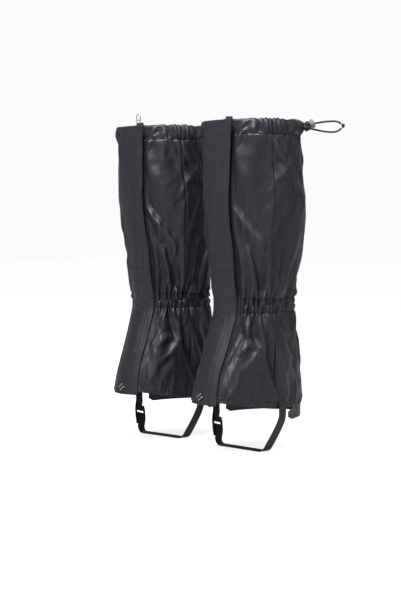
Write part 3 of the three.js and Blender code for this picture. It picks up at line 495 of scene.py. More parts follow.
@dataclass(frozen=True)
class Finish:
    """What every finish has: a name, two colours that it varies between, and the shader's own numbers."""

    name: str
    colour: str
    second: str
    roughness: float
    metallic: float = 0.0
    ior: float = 1.5
    sheen: float = 0.0
    coat: float = 0.0
    patch_mm: float = 45.0  # size of the patches that the two colours make
    bump_mm: float = 0.1

    def material(self) -> bpy.types.Material:
        """The finish as a material, made once."""
        found = bpy.data.materials.get(self.name)
        return found or self.make()

    def make(self) -> bpy.types.Material:
        """Builds the node tree."""
        material = bpy.data.materials.new(self.name)
        material.use_nodes = True
        tree = material.node_tree
        tree.nodes.clear()
        shader = add_node(tree, "BsdfPrincipled", {
            "Metallic": self.metallic,
            "IOR": self.ior,
            "Sheen Weight": self.sheen,
            "Sheen Roughness": 0.45,
            "Sheen Tint": linear("#c9c6d6"),
            "Coat Weight": self.coat,
            "Coat Roughness": 0.3,
        })
        place = add_node(tree, "TexCoord").outputs["Object"]
        patches = add_node(tree, "TexNoise",
                           {"Vector": place, "Scale": 1 / (self.patch_mm * MM), "Detail": 4.0})
        height, marks_and_shade = self.relief(tree, place)
        colour = self.shade(tree, patches.outputs["Fac"], marks_and_shade)
        tree.links.new(colour, shader.inputs["Base Color"])
        tree.links.new(self.gloss(tree, marks_and_shade), shader.inputs["Roughness"])
        bump = add_node(tree, "Bump", {"Height": height, "Distance": self.bump_mm * MM, "Strength": 0.8})
        tree.links.new(bump.outputs["Normal"], shader.inputs["Normal"])
        add_node(tree, "OutputMaterial", {"Surface": shader.outputs["BSDF"]})
        return material

    def relief(self, tree: bpy.types.NodeTree,
               place: bpy.types.NodeSocket) -> tuple[bpy.types.NodeSocket, ...]:
        """The surface's fine height, and marks from 0 to 1 that change its colour and gloss."""
        grain = add_node(tree, "TexNoise", {"Vector": place, "Scale": 1 / (0.9 * MM), "Detail": 3.0})
        return grain.outputs["Fac"], grain.outputs["Fac"]

    def shade(self, tree: bpy.types.NodeTree, patches: bpy.types.NodeSocket,
              marks_and_shade: bpy.types.NodeSocket) -> bpy.types.NodeSocket:
        """The colour: the two colours in patches, a little darker where the marks are low; where the marks are the
        relief's own height, that darkening is painted shade in its low places.
        """
        mix = add_node(tree, "MixRGB", {"Fac": patches, "Color1": linear(self.colour),
                                        "Color2": linear(self.second)})
        depth = add_node(tree, "MapRange", {"Value": marks_and_shade, "To Min": 0.78, "To Max": 1.12})
        return add_node(tree, "MixRGB", {
            "Fac": 1.0, "Color1": mix.outputs["Color"], "Color2": depth.outputs["Result"],
        }, blend_type="MULTIPLY").outputs["Color"]

    def gloss(self, tree: bpy.types.NodeTree, marks_and_shade: bpy.types.NodeSocket) -> bpy.types.NodeSocket:
        """The roughness, which varies a little with the marks."""
        return add_node(tree, "MapRange", {
            "Value": marks_and_shade, "To Min": min(self.roughness * 1.15, 1.0), "To Max": self.roughness * 0.88,
        }).outputs["Result"]


@dataclass(frozen=True)
class WovenCloth(Finish):
    """A plain weave that follows the cloth's own UV map, with its crests painted lighter, partly as wear and partly
    as a painted highlight, and its grooves darker as painted shade.
    """

    thread_mm: float = 1.5
    ribs: float = 1.0  # how much higher the weft stands than the warp

    def relief(self, tree: bpy.types.NodeTree,
               place: bpy.types.NodeSocket) -> tuple[bpy.types.NodeSocket, ...]:
        """Warp and weft as two crossed waves, with a little yarn noise."""
        weave = add_node(tree, "UVMap", uv_map="UVMap").outputs["UV"]
        scale = wave_scale(self.thread_mm)
        warp = add_node(tree, "TexWave", {"Vector": weave, "Scale": scale, "Distortion": 0.4},
                        bands_direction="X")
        weft = add_node(tree, "TexWave", {"Vector": weave, "Scale": scale, "Distortion": 0.4},
                        bands_direction="Y")
        ribs = add_node(tree, "Math", {0: weft.outputs["Fac"], 1: self.ribs}, operation="MULTIPLY")
        cross = add_node(tree, "Math", {0: warp.outputs["Fac"], 1: ribs.outputs["Value"]}, operation="ADD")
        yarn = add_node(tree, "TexNoise", {"Vector": place, "Scale": 1 / (2.6 * MM), "Detail": 5.0})
        mixed = add_node(tree, "Math", {0: cross.outputs["Value"], 1: 0.36, 2: yarn.outputs["Fac"]},
                         operation="MULTIPLY_ADD")
        # The crest value read here paints the colour darker in the grooves as painted shade and lighter on the
        # crests, partly as wear and partly as a painted highlight.
        crest = add_node(tree, "Attribute", attribute_name="crest").outputs["Fac"]
        level = add_node(tree, "Math", {0: yarn.outputs["Fac"], 1: 0.25, 2: crest},
                         operation="MULTIPLY_ADD")
        return mixed.outputs["Value"], level.outputs["Value"]

    def shade(self, tree: bpy.types.NodeTree, patches: bpy.types.NodeSocket,
              marks_and_shade: bpy.types.NodeSocket) -> bpy.types.NodeSocket:
        """Patches of the two colours, painted lighter on the crests, partly as wear and partly as a painted
        highlight, and darker in the grooves as painted shade.
        """
        mix = add_node(tree, "MixRGB", {"Fac": patches, "Color1": linear(self.colour),
                                        "Color2": linear(self.second)})
        # Painted shade and highlight: the colour is multiplied from 0.28 in the deepest grooves to 1.75 on the
        # highest crests.
        depth = add_node(tree, "MapRange", {
            "Value": marks_and_shade, "From Min": 0.25, "From Max": 1.0, "To Min": 0.28, "To Max": 1.75,
        })
        return add_node(tree, "MixRGB", {
            "Fac": 1.0, "Color1": mix.outputs["Color"], "Color2": depth.outputs["Result"],
        }, blend_type="MULTIPLY").outputs["Color"]

    def gloss(self, tree: bpy.types.NodeTree, marks_and_shade: bpy.types.NodeSocket) -> bpy.types.NodeSocket:
        """Smoother on the rubbed crests."""
        return add_node(tree, "MapRange", {
            "Value": marks_and_shade, "From Min": 0.3, "From Max": 0.95,
            "To Min": min(self.roughness * 1.2, 1.0), "To Max": self.roughness * 0.85,
        }).outputs["Result"]


@dataclass(frozen=True)
class RibbedTextile(Finish):
    """Yarn in ribs along the UV map's length, crossed by finer picks: webbing, elastic and zip tape."""

    rib_mm: float = 2.0
    pick_mm: float = 1.2
    slant: float = 0.0  # above 0 the ribs run as a herringbone or a braid

    def relief(self, tree: bpy.types.NodeTree,
               place: bpy.types.NodeSocket) -> tuple[bpy.types.NodeSocket, ...]:
        """Ribs and picks as two waves, turned by the slant."""
        weave = add_node(tree, "UVMap", uv_map="UVMap").outputs["UV"]
        turned = add_node(tree, "Mapping", {"Vector": weave, "Rotation": (0.0, 0.0, self.slant)})
        ribs = add_node(tree, "TexWave", {"Vector": turned.outputs["Vector"],
                                          "Scale": wave_scale(self.rib_mm)},
                        bands_direction="X")
        picks = add_node(tree, "TexWave",
                         {"Vector": turned.outputs["Vector"], "Scale": wave_scale(self.pick_mm),
                                           "Distortion": 1.0}, bands_direction="Y")
        both = add_node(tree, "Math", {0: ribs.outputs["Fac"], 1: picks.outputs["Fac"]},
                        operation="MULTIPLY")
        fuzz = add_node(tree, "TexNoise", {"Vector": place, "Scale": 1 / (0.8 * MM), "Detail": 3.0})
        mixed = add_node(tree, "Math", {0: fuzz.outputs["Fac"], 1: 0.35, 2: both.outputs["Value"]},
                         operation="MULTIPLY_ADD")
        # Returned twice: as the bump's height and as the marks, which paint the low places between the ribs darker
        # as painted shade.
        return mixed.outputs["Value"], mixed.outputs["Value"]


@dataclass(frozen=True)
class BrushedMetal(Finish):
    """Cast or drawn metal: fine scratches in one direction and duller patches."""

    grain_mm: float = 0.6

    def relief(self, tree: bpy.types.NodeTree,
               place: bpy.types.NodeSocket) -> tuple[bpy.types.NodeSocket, ...]:
        """Stretched noise for drawing lines and tumbling marks."""
        stretched = add_node(tree, "Mapping", {"Vector": place, "Scale": (1.0, 1.0, 0.15)})
        lines = add_node(tree, "TexNoise", {
            "Vector": stretched.outputs["Vector"], "Scale": 1 / (self.grain_mm * MM), "Detail": 4.0,
        })
        return lines.outputs["Fac"], lines.outputs["Fac"]


# Nylon taffeta, polyurethane coated and calendered: a soft satin with a faint violet cast; its threads are far
# finer than a millimetre, so the weave is drawn at 1.5 mm to show at all.
LEG_NYLON = WovenCloth("coated_nylon_taffeta", "#221e2b", "#1a181f", 0.45, sheen=0.04, patch_mm=60.0,
                       bump_mm=0.09)
# The flap is the same nylon in two layers, pressed flat, so it is a little duller; its colours are set a little
# lighter than the leg's, a lit copy of the same nylon as painted light.
FLAP_NYLON = WovenCloth("pressed_nylon_flap", "#25212d", "#1d1b23", 0.49, sheen=0.04, patch_mm=50.0,
                        bump_mm=0.09)
# Knitted elastic: matt rubber and polyester yarn in narrow ribs.
ELASTIC = RibbedTextile("knitted_elastic", "#1c1b20", "#161519", 0.85, sheen=0.2, rib_mm=2.4, pick_mm=1.1,
                        bump_mm=0.25)
# Hook-and-loop pile: brushed nylon loops that hold no highlight at all.
PILE = Finish("brushed_loop_pile", "#0f0e11", "#19181c", 0.96, sheen=0.35, patch_mm=2.2, bump_mm=0.5)
# Polypropylene webbing, woven in a coarse herringbone: slightly waxy ribs.
WEBBING = RibbedTextile("polypropylene_webbing", "#161818", "#121313", 0.62, sheen=0.15, rib_mm=2.0,
                        pick_mm=1.6,
                        slant=0.6, bump_mm=0.3)
# Polyester zip tape: a fine twill, quite matt.
TAPE = RibbedTextile("polyester_zip_tape", "#141317", "#101013", 0.8, sheen=0.12, rib_mm=1.1, pick_mm=1.1,
                     slant=0.8)
# Nylon monofilament coil: smooth, with small sharp glints.
COIL = Finish("nylon_coil", "#131216", "#1a191d", 0.35, ior=1.53, patch_mm=8.0, bump_mm=0.02)
# Spun polyester thread: close to the cloth's colour, matt.
THREAD = Finish("spun_polyester_thread", "#1e1d22", "#18171c", 0.9, sheen=0.05, patch_mm=3.0, bump_mm=0.08)
# Lacquered zinc die casting: dark, half-gloss lacquer that thins on the edges.
SLIDER_ZINC = BrushedMetal("lacquered_zinc", "#56555b", "#3e3d43", 0.42, metallic=0.85, coat=0.3,
                           patch_mm=3.0,
                           bump_mm=0.04)
# Drawn steel wire and pressed steel, nickel plated: bright with soft drawing lines.
NICKEL = BrushedMetal("nickel_plated_steel", "#c2c2c6", "#a3a3a8", 0.27, metallic=1.0, patch_mm=4.0,
                      bump_mm=0.03)
# Moulded acetal: waxy, half gloss, with a faint spark-eroded grain.
DARK_ACETAL = Finish("moulded_acetal_dark", "#171619", "#121114", 0.42, ior=1.48, patch_mm=12.0,
                     bump_mm=0.05)
GREY_ACETAL = Finish("moulded_acetal_grey", "#85838a", "#74727a", 0.45, ior=1.48, patch_mm=9.0,
                     bump_mm=0.05)
# Braided polyester cord: matt yarn whose braid is in the mesh itself; the shader adds the filaments.
BRAID = RibbedTextile("braided_polyester_cord", "#2b3636", "#222b2c", 0.78, sheen=0.25, rib_mm=0.9,
                      pick_mm=1.4,
                      slant=0.75, bump_mm=0.12)


# ---- Making pieces -------------------------------------------------------------------------------
def new_piece(name: str, bm: bmesh.types.BMesh, finish: Finish) -> bpy.types.Object:
    """Turns a bmesh in metres into an object at the origin.

    Args:
        name: the piece's name.
        bm: the shape, which is freed.
        finish: what it is made of.

    Returns:
        The object, in the scene.
    """
    mesh = bpy.data.meshes.new(name)
    bm.to_mesh(mesh)
    bm.free()
    mesh.polygons.foreach_set("use_smooth", [True] * len(mesh.polygons))
    mesh.materials.append(finish.material())
    piece = bpy.data.objects.new(name, mesh)
    bpy.context.scene.collection.objects.link(piece)
    return piece


def mapped_grid(columns: int, rows: int, place: Callable[[Array, Array], Array], size: tuple[float, float],
                close: str = "") -> bmesh.types.BMesh:
    """A grid of cells moved to a shape.

    Args:
        columns: cells across.
        rows: cells up.
        place: takes the shares across and up, from 0 to 1, and returns rows in metres.
        size: the cloth's width and length in millimetres, which set its UV map.
        close: "u", "v" or "uv" for the directions whose two edges meet.

    Returns:
        The bmesh, with its edges that meet merged.
    """
    bm = bmesh.new()
    layer = bm.loops.layers.uv.new("UVMap")
    bmesh.ops.create_grid(bm, x_segments=columns, y_segments=rows, size=1.0, calc_uvs=True)
    across = np.array([vert.co.x for vert in bm.verts]) / 2 + 0.5
    up = np.array([vert.co.y for vert in bm.verts]) / 2 + 0.5
    for vert, u, v in zip(bm.verts, across, up):
        for loop in vert.link_loops:
            loop[layer].uv = (u * size[0] * MM, v * size[1] * MM)
    for vert, row in zip(bm.verts, place(across, up)):
        vert.co = row
    if close:
        bmesh.ops.remove_doubles(bm, verts=bm.verts, dist=2e-6)
    return bm


def face_out(bm: bmesh.types.BMesh, outward: Callable[[Vector], Vector]) -> bmesh.types.BMesh:
    """Turns an open sheet round if most of its faces look inwards."""
    bm.normal_update()
    faces = list(bm.faces)[:: max(1, len(bm.faces) // 200)]
    score = sum(face.normal.dot(outward(face.calc_center_median())) for face in faces)
    if score < 0:
        bmesh.ops.reverse_faces(bm, faces=bm.faces)
    return bm


def closed_out(bm: bmesh.types.BMesh) -> bmesh.types.BMesh:
    """Closes any open ends and points the faces of a closed shape outwards."""
    rim = [edge for edge in bm.edges if edge.is_boundary]
    if rim:
        bmesh.ops.holes_fill(bm, edges=rim, sides=0)
    bmesh.ops.recalc_face_normals(bm, faces=bm.faces)
    return bm


def thicken(piece: bpy.types.Object, thickness: float) -> bpy.types.Object:
    """Gives a sheet its thickness, in millimetres, inwards."""
    solid = piece.modifiers.new("thickness", "SOLIDIFY")
    solid.thickness = thickness * MM
    solid.offset = -1.0
    return piece


def soften(piece: bpy.types.Object, width: float, segments: int = 2) -> bpy.types.Object:
    """Rounds the edges of a moulded piece, in millimetres."""
    bevel = piece.modifiers.new("edges", "BEVEL")
    bevel.width = width * MM
    bevel.segments = segments
    bevel.limit_method = "ANGLE"
    bevel.angle_limit = math.radians(40)
    return piece


def with_crest(piece: bpy.types.Object, values: Array) -> bpy.types.Object:
    """Stores how far each point stands on a crest, 0 in a groove to 1, for the finish to read: it paints shade into
    the grooves and lighter crests.
    """
    attribute = piece.data.attributes.new("crest", "FLOAT", "POINT")
    attribute.data.foreach_set("value", np.clip(values, 0, 1).astype(np.float32))
    return piece


def fit(piece: bpy.types.Object, body: str, slot: str, *nodes: str) -> bpy.types.Object:
    """Puts a finished piece on its body and hides the solids that it stands for."""
    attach(piece, body)
    if nodes:
        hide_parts(*nodes)
    LOG.info("%s rides on %s", piece.name, body)
    return piece


def smooth_path(points: Array, spacing: float) -> Array:
    """Points along a centripetal Catmull-Rom curve, at an even spacing in millimetres."""
    points = np.asarray(points, float)
    ends = np.vstack([2 * points[0] - points[1], points, 2 * points[-1] - points[-2]])
    fine = []
    for p0, p1, p2, p3 in zip(ends[:-3], ends[1:-2], ends[2:-1], ends[3:]):
        gaps = [max(np.linalg.norm(b - a), 1e-6) ** 0.5 for a, b in ((p0, p1), (p1, p2), (p2, p3))]
        knots = np.cumsum([0.0] + gaps)
        for t in np.linspace(knots[1], knots[2], 12, endpoint=False):
            a1 = (knots[1] - t) / knots[1] * p0 + t / knots[1] * p1
            a2 = (knots[2] - t) / (knots[2] - knots[1]) * p1 + (t - knots[1]) / (knots[2] - knots[1]) * p2
            a3 = (knots[3] - t) / (knots[3] - knots[2]) * p2 + (t - knots[2]) / (knots[3] - knots[2]) * p3
            b1 = (knots[2] - t) / knots[2] * a1 + t / knots[2] * a2
            b2 = (knots[3] - t) / (knots[3] - knots[1]) * a2 + (t - knots[1]) / (knots[3] - knots[1]) * a3
            fine.append((knots[2] - t) / (knots[2] - knots[1]) * b1 + (t - knots[1]) / (knots[2] - knots[1]) * b2)
    fine = np.array(fine + [points[-1]])
    return evenly(fine, spacing)


def evenly(points: Array, spacing: float) -> Array:
    """A polyline's points, laid again at an even spacing in millimetres."""
    length = np.concatenate([[0.0], np.cumsum(np.linalg.norm(np.diff(points, axis=0), axis=1))])
    places = np.linspace(0, length[-1], max(2, int(round(length[-1] / spacing)) + 1))
    return np.stack([np.interp(places, length, points[:, i]) for i in range(3)], -1)


def carried_frames(path: Array, closed: bool = False) -> tuple[Array, Array]:
    """Two directions across a path at each point, carried along it without twist."""
    if closed:
        tangents = np.roll(path, -1, 0) - np.roll(path, 1, 0)
    else:
        tangents = np.gradient(path, axis=0)
    tangents /= np.linalg.norm(tangents, axis=1, keepdims=True)
    start = np.array([0.0, 0.0, 1.0]) if abs(tangents[0][2]) < 0.9 else np.array([1.0, 0.0, 0.0])
    normal = np.cross(tangents[0], start)
    first, second = [], []
    for tangent in tangents:
        normal = normal - tangent * normal.dot(tangent)
        normal /= np.linalg.norm(normal)
        first.append(normal)
        second.append(np.cross(tangent, normal))
    return np.array(first), np.array(second)


def tube(path: Array, radius: float, sides: int, braid: float = 0.0,
         closed: bool = False) -> bmesh.types.BMesh:
    """A round tube along a path.

    Args:
        path: rows in metres, evenly spaced.
        radius: in millimetres.
        sides: cells round it.
        braid: how deep the braid's grooves are, as a share of the radius.
        closed: True where the path's ends meet.

    Returns:
        The closed bmesh.
    """
    first, second = carried_frames(path, closed)
    count = len(path)
    spacing = float(np.linalg.norm(path[1] - path[0])) / MM
    length = spacing * (count - 1)

    def place(u: Array, v: Array) -> Array:
        index = np.rint(u * (count if closed else count - 1)).astype(int) % count
        turn = v * TURN
        along = index * spacing
        weave = np.maximum(np.sin(4 * turn + along * TURN / 5.2), np.sin(4 * turn - along * TURN / 5.2))
        reach = radius * (1 - braid + braid * weave)
        ring = np.cos(turn)[:, None] * first[index] + np.sin(turn)[:, None] * second[index]
        return path[index] + ring * reach[:, None] * MM

    columns = count if closed else count - 1
    bm = mapped_grid(columns, sides, place, (length, TURN * radius), "uv" if closed else "v")
    return closed_out(bm)


def block(bm: bmesh.types.BMesh, low: Sequence[float], high: Sequence[float], matrix: Matrix | None = None,
          bevel: float = 0.0) -> None:
    """Adds a box by its corners in millimetres, with rounded edges, turned and placed by the matrix."""
    size = [(b - a) for a, b in zip(low, high)]
    middle = [(b + a) / 2 for a, b in zip(low, high)]
    made = bmesh.ops.create_cube(bm, size=1.0,
                                 matrix=Matrix.Translation(middle) @ Matrix.Diagonal((*size, 1.0)))
    verts = made["verts"]
    if bevel:
        edges = list({edge for vert in verts for edge in vert.link_edges})
        rounded = bmesh.ops.bevel(bm, geom=edges, offset=bevel, segments=3, profile=0.5, affect="EDGES",
                                  material=-1)
        verts = list({vert for face in rounded["faces"] for vert in face.verts} | {v for v in verts if v.is_valid})
    if matrix:
        bmesh.ops.transform(bm, matrix=matrix, verts=verts)


def to_row(bm: bmesh.types.BMesh, form: LegForm, local: LocalFrame | None = None) -> bmesh.types.BMesh:
    """Moves a shape made in millimetres, in a local frame or the leg's, to the row frame in metres."""
    rows = np.array([vert.co for vert in bm.verts])
    if local:
        rows = local.rows(rows)
    for vert, row in zip(bm.verts, form.world(rows)):
        vert.co = row
    bmesh.ops.recalc_face_normals(bm, faces=bm.faces)
    return bm


# ---- The cloth leg -------------------------------------------------------------------------------
class Relief:
    """The folds of one leg, worked out once on a raster of angles and heights and read back from it."""

    COLUMNS = 640
    LOW = 38.0
    HIGH = 462.0
    STEP = 1.25

    def __init__(self, form: LegForm) -> None:
        self.form = form
        self.angles = np.linspace(0, TURN, self.COLUMNS, endpoint=False)
        self.levels = np.arange(self.LOW, self.HIGH + self.STEP, self.STEP)
        angle, z = np.meshgrid(self.angles, self.levels)
        folds = Folds(form)
        self.height = folds.heights(angle, z) + self.seams(angle, z)
        # How far each point stands above its blurred surroundings, above 0.5 on ridges and below in grooves: the
        # cloth's finish paints the grooves darker with it as painted shade, and the ridges lighter, partly as a
        # painted highlight.
        soft = self.height.copy()
        for _ in range(14):
            soft = (soft + np.roll(soft, 1, 1) + np.roll(soft, -1, 1) + np.vstack([soft[:1], soft[:-1]])
                    + np.vstack([soft[1:], soft[-1:]])) / 5
        self.crest = np.clip(0.5 + (self.height - soft) * 0.5, 0, 1)

    def seams(self, angle: Array, z: Array) -> Array:
        """The narrow groove and the two low ridges of the side seams."""
        total = np.zeros_like(z)
        for centre in (side_seam(z), -side_seam(z)):
            across = ((angle - centre + math.pi) % TURN - math.pi) * 66.0
            groove = -0.5 * np.exp(-((across / 0.9) ** 2))
            ridge = 0.35 * np.exp(-(((np.abs(across) - 3.2) / 2.2) ** 2))
            total += (groove + ridge) * (z < CASING_Z)
        return total

    def read(self, field: Array, angle: Array, z: Array) -> Array:
        """A field's values at angles and heights."""
        column = (np.asarray(angle, float) % TURN) / TURN * self.COLUMNS
        row = np.clip((np.asarray(z, float) - self.LOW) / self.STEP, 0, len(self.levels) - 1.001)
        i, j = np.floor(column).astype(int), np.floor(row).astype(int)
        a, b = column - i, row - j
        i, k = i % self.COLUMNS, (i + 1) % self.COLUMNS
        low = field[j, i] * (1 - a) + field[j, k] * a
        high = field[j + 1, i] * (1 - a) + field[j + 1, k] * a
        return low * (1 - b) + high * b

    def at(self, angle: Array, z: Array) -> Array:
        """How far the cloth stands out, in millimetres."""
        return self.read(self.height, angle, z)


@dataclass
class ClothLeg:
    """The gathered leg: three panels, the drawcord's hem, the elastic hem, heel tab and ankle's elastic."""

    side: Side
    form: LegForm
    relief: Relief
    panel_cell: float = 1.35
    casing_wall: float = 0.6
    casing_depth: float = 5.4

    def panel(self, name: str, start: Callable[[Array], Array], end: Callable[[Array], Array],
              columns: int, width: float, node: str) -> bpy.types.Object:
        """One panel of the leg, between two seams.

        Args:
            name: the piece's name, without its prefix.
            start: the angle of its first seam at each height.
            end: the angle of its last seam.
            columns: cells across.
            width: the cut cloth's mean width, in millimetres.
            node: the solid that it stands for.

        Returns:
            The panel.
        """
        form, relief = self.form, self.relief
        top = CASING_Z + 0.8
        length = top - HEM_Z - HEM_BAND
        kept: dict[str, Array] = {}

        def place(u: Array, v: Array) -> Array:
            angle = start(150.0) * (1 - u) + end(150.0) * u
            for _ in range(2):
                low = hem_height(angle) + HEM_BAND - 0.6
                z = low + (top - low) * v
                angle = start(z) * (1 - u) + end(z) * u
            kept["crest"] = relief.read(relief.crest, angle, z)
            tuck = -1.0 * smoothstep((z - CASING_Z + 2.5) / 3.0)
            return form.world(form.point(angle, z, relief.at(angle, z) + tuck))

        bm = mapped_grid(columns, int(length / self.panel_cell), place, (width, length))
        face_out(bm, self.outwards)
        piece = new_piece(f"{self.side.prefix}_{name}", bm, LEG_NYLON)
        with_crest(piece, kept["crest"])
        thicken(piece, CLOTH)
        fit(piece, "gaiters", "cloth", f"{self.side.prefix}_{node}")
        return piece

    def outwards(self, place: Vector) -> Vector:
        """The direction away from the leg's middle at a place."""
        middle = self.form.world(np.array([0.0, -8.0, 0.0]))
        return Vector((place.x - middle[0], place.y - middle[1], 0))

    def panels(self) -> None:
        """The zip-side, flap-side and back panels."""
        form = self.form

        def zip_edge(side: int) -> Callable[[Array], Array]:
            return lambda z: form.angle_at(zip_x(z) + side * ZIP_CLEAR, z)

        self.panel("cloth_zip_side", zip_edge(1), side_seam, 78, 84.0, "zip_side_panel")
        self.panel("cloth_flap_side", lambda z: -side_seam(z), zip_edge(-1), 78, 88.0, "flap_side_panel")
        self.panel("cloth_back", side_seam, lambda z: TURN - side_seam(z), 172, 262.0, "back_panel")

    def ruffle(self, angle: Array) -> Array:
        """The drawn-in puffs round the top, which stand closer together towards the cord lock."""
        turned = (angle + math.pi) % TURN - math.pi
        toward = np.exp(-((np.degrees(angle) - LOCK_ANGLE) / 60) ** 2)
        phase = angle * 66 / 9.5 + 2.2 * np.sin(angle + 1) + 0.8 * np.sin(angle * 6) + 1.6 * toward
        puff = np.abs(np.sin(phase * math.pi)) ** 0.75 + 0.35 * np.sin(phase * 2.3 + 1)
        calm = smoothstep((np.abs(turned) - math.radians(18)) / math.radians(22))
        return puff * calm * (0.75 + 0.7 * toward)

    def casing(self, exit_frame: LocalFrame) -> None:
        """The hollow hem round the top, with its gathers and the sewn hole for the drawcord."""
        form, relief = self.form, self.relief
        start = float(form.angle_at(ZIP_TOP_X + 5.2, TOP_Z))
        end = TURN + float(form.angle_at(ZIP_TOP_X - 5.2, TOP_Z))
        # Round the hem's section: how high, from 0 at the sewn foot to 1, and how deep, from 0 outside to 1.
        outline = np.array([
            (0.0, 0.12), (0.08, 0.04), (0.2, -0.02), (0.4, -0.08), (0.6, -0.06), (0.78, 0.0), (0.9, 0.1),
            (0.975, 0.3), (1.0, 0.5), (0.975, 0.72), (0.88, 0.92), (0.7, 1.0), (0.4, 0.98), (0.2, 0.72),
            (0.08, 0.4), (0.0, 0.26), (0.0, 0.12),
        ])
        tall = 22.0
        reach = np.concatenate([[0.0], np.cumsum(np.hypot(np.diff(outline[:, 0]) * tall,
                                                          np.diff(outline[:, 1]) * self.casing_depth))])
        reach /= reach[-1]

        def place(u: Array, v: Array) -> Array:
            angle = start + (end - start) * u
            up = np.interp(v, reach, outline[:, 0])
            deep = np.interp(v, reach, outline[:, 1])
            puff = self.ruffle(angle)
            z = CASING_Z - 0.4 + up * (TOP_Z - CASING_Z - 0.6 + 1.7 * (puff - 0.7))
            swell = np.sin(math.pi * np.clip(up, 0, 1)) ** 0.6
            outer = 0.3 + (1.0 - 0.4 * up) * relief.at(angle, z) + swell * (3.9 * puff - 1.5)
            seam = -0.9 * np.exp(-(((up - 0.1) / 0.035) ** 2)) * (deep < 0.5)
            inner = 1.0 - self.casing_depth + 0.5 * swell * puff
            offset = outer * (1 - deep) + inner * deep + seam
            return form.world(form.point(angle, z, offset))

        bm = mapped_grid(330, 34, place, (418.0, 52.0), "v")
        bmesh.ops.recalc_face_normals(bm, faces=bm.faces)
        face_out(bm, self.casing_side)
        hole = Vector(form.world(exit_frame.rows(np.array([13.0, 0.5, 0.0]))))
        along = Vector(form.world(exit_frame.rows(np.array([14.0, 0.5, 0.0])))) - hole
        doomed = []
        for face in bm.faces:
            away = face.calc_center_median() - hole
            across = away.dot(along) / along.length_squared
            up = away.z / MM
            if away.length < 0.012 and (across / 2.0) ** 2 + (up / 4.4) ** 2 < 1 and self.faces_out(face):
                doomed.append(face)
        bmesh.ops.delete(bm, geom=doomed, context="FACES")
        piece = new_piece(f"{self.side.prefix}_casing", bm, LEG_NYLON)
        with_crest(piece, np.full(len(piece.data.vertices), 0.5))
        thicken(piece, self.casing_wall)
        fit(piece, "gaiters", "cloth", f"{self.side.prefix}_top_casing")
        turn = np.linspace(0, TURN, 41)[:-1]
        places = np.stack([13.0 + 2.4 * np.cos(turn), 1.5 + 0 * turn, 4.9 * np.sin(turn)], -1)
        ring = tube(form.world(exit_frame.rows(places)), 0.75, 8, braid=0.14, closed=True)
        fit(new_piece(f"{self.side.prefix}_cord_buttonhole", ring, THREAD), "gaiters", "cloth")

    def casing_side(self, place: Vector) -> Vector:
        """Out of the hem's section: outwards outside its middle, inwards inside it."""
        out = self.outwards(place)
        angle = math.atan2(out.x, -out.y)
        middle = Vector(self.form.world(self.form.point(angle, place.z / MM, -1.7)))
        return out if out.length > self.outwards(middle).length else -out

    def faces_out(self, face: bmesh.types.BMFace) -> bool:
        """True for a face on the outside of the leg."""
        return face.normal.dot(self.outwards(face.calc_center_median())) > 0

    def elastic_hem(self) -> None:
        """The hem: cloth gathered over elastic, with two rows of puffs."""
        form, relief = self.form, self.relief
        start = float(form.angle_at(ZIP_LOW_X + ZIP_REACH + 0.8, HEM_Z))
        end = TURN + float(form.angle_at(ZIP_LOW_X - ZIP_REACH - 0.8, HEM_Z))

        def place(u: Array, v: Array) -> Array:
            angle = start + (end - start) * u
            turn = v * TURN
            up = 0.5 - 0.5 * np.cos(turn)
            out = np.sin(turn)
            rib = np.abs(np.sin(angle * 74 / 5.2 * math.pi + 0.7 * np.sin(angle * 9)))
            z = hem_height(angle) + 0.2 + up * (HEM_BAND - 0.2) + 0.5 * rib * (up < 0.3)
            swell = np.abs(out) ** 0.5 * np.sign(out)
            outer = relief.at(angle, z) * 0.8 + 0.9 * rib - 0.3
            offset = np.where(out > 0, outer + 0.6 * (swell - 1), -1.0 - swell * -0.8)
            pinch = -0.7 * np.exp(-(((up - 0.55) / 0.08) ** 2)) * (out > 0)
            return form.world(form.point(angle, z, offset + pinch))

        bm = mapped_grid(420, 16, place, (470.0, 21.0), "v")
        closed_out(bm)
        piece = new_piece(f"{self.side.prefix}_hem_band", bm, LEG_NYLON)
        with_crest(piece, np.full(len(piece.data.vertices), 0.5))
        fit(piece, "gaiters", "elastic", f"{self.side.prefix}_hem_elastic")

    def ankle_band(self) -> None:
        """The shirred elastic inside the ankle, in narrow ribs."""
        form = self.form

        def place(u: Array, v: Array) -> Array:
            angle = np.radians(30 + 295 * u)
            z = ANKLE_LOW_Z + 0.5 + (ANKLE_HIGH_Z - ANKLE_LOW_Z - 1) * v
            rib = 0.35 * np.sin(angle * 58 / 2.6 * TURN)
            return form.world(form.point(angle, z, -CLOTH - 2.2 + rib))

        bm = face_out(mapped_grid(420, 12, place, (290.0, 20.0)), self.outwards)
        piece = thicken(new_piece(f"{self.side.prefix}_ankle_band", bm, ELASTIC), 1.0)
        fit(piece, "gaiters", "elastic", f"{self.side.prefix}_ankle_elastic")

    def heel_tab(self) -> None:
        """The flap round the heel under the hem, with the slit behind the strap at its front end."""
        form = self.form

        def place(u: Array, v: Array) -> Array:
            angle = np.radians(103 + 154 * u)
            notch = 7.0 * (1 - smoothstep((u * 154) / 9.0))
            top = HEM_Z + 1.2 - notch
            corner = 4.0 * (1 - smoothstep(np.minimum(u, 1 - u) * 154 / 6.0))
            low = HEM_Z - HEEL_TAB_DROP + corner
            z = low + (top - low) * v
            ripple = 0.7 * np.sin(angle * 9 + 1) * (1 - v) + 0.5 * np.sin(angle * 21) * v
            hem = 0.35 * np.exp(-(((z - low - 3.0) / 1.6) ** 2)) - 0.3 * np.exp(-(((z - low - 5.0) / 0.6) ** 2))
            return form.world(form.point(angle, z, -0.5 + ripple + hem))

        bm = face_out(mapped_grid(200, 22, place, (205.0, 19.0)), self.outwards)
        piece = with_crest(new_piece(f"{self.side.prefix}_heel_flap", bm, LEG_NYLON),
                           np.full(201 * 23, 0.5))
        thicken(piece, 1.1)
        fit(piece, "gaiters", "cloth", f"{self.side.prefix}_heel_tab")

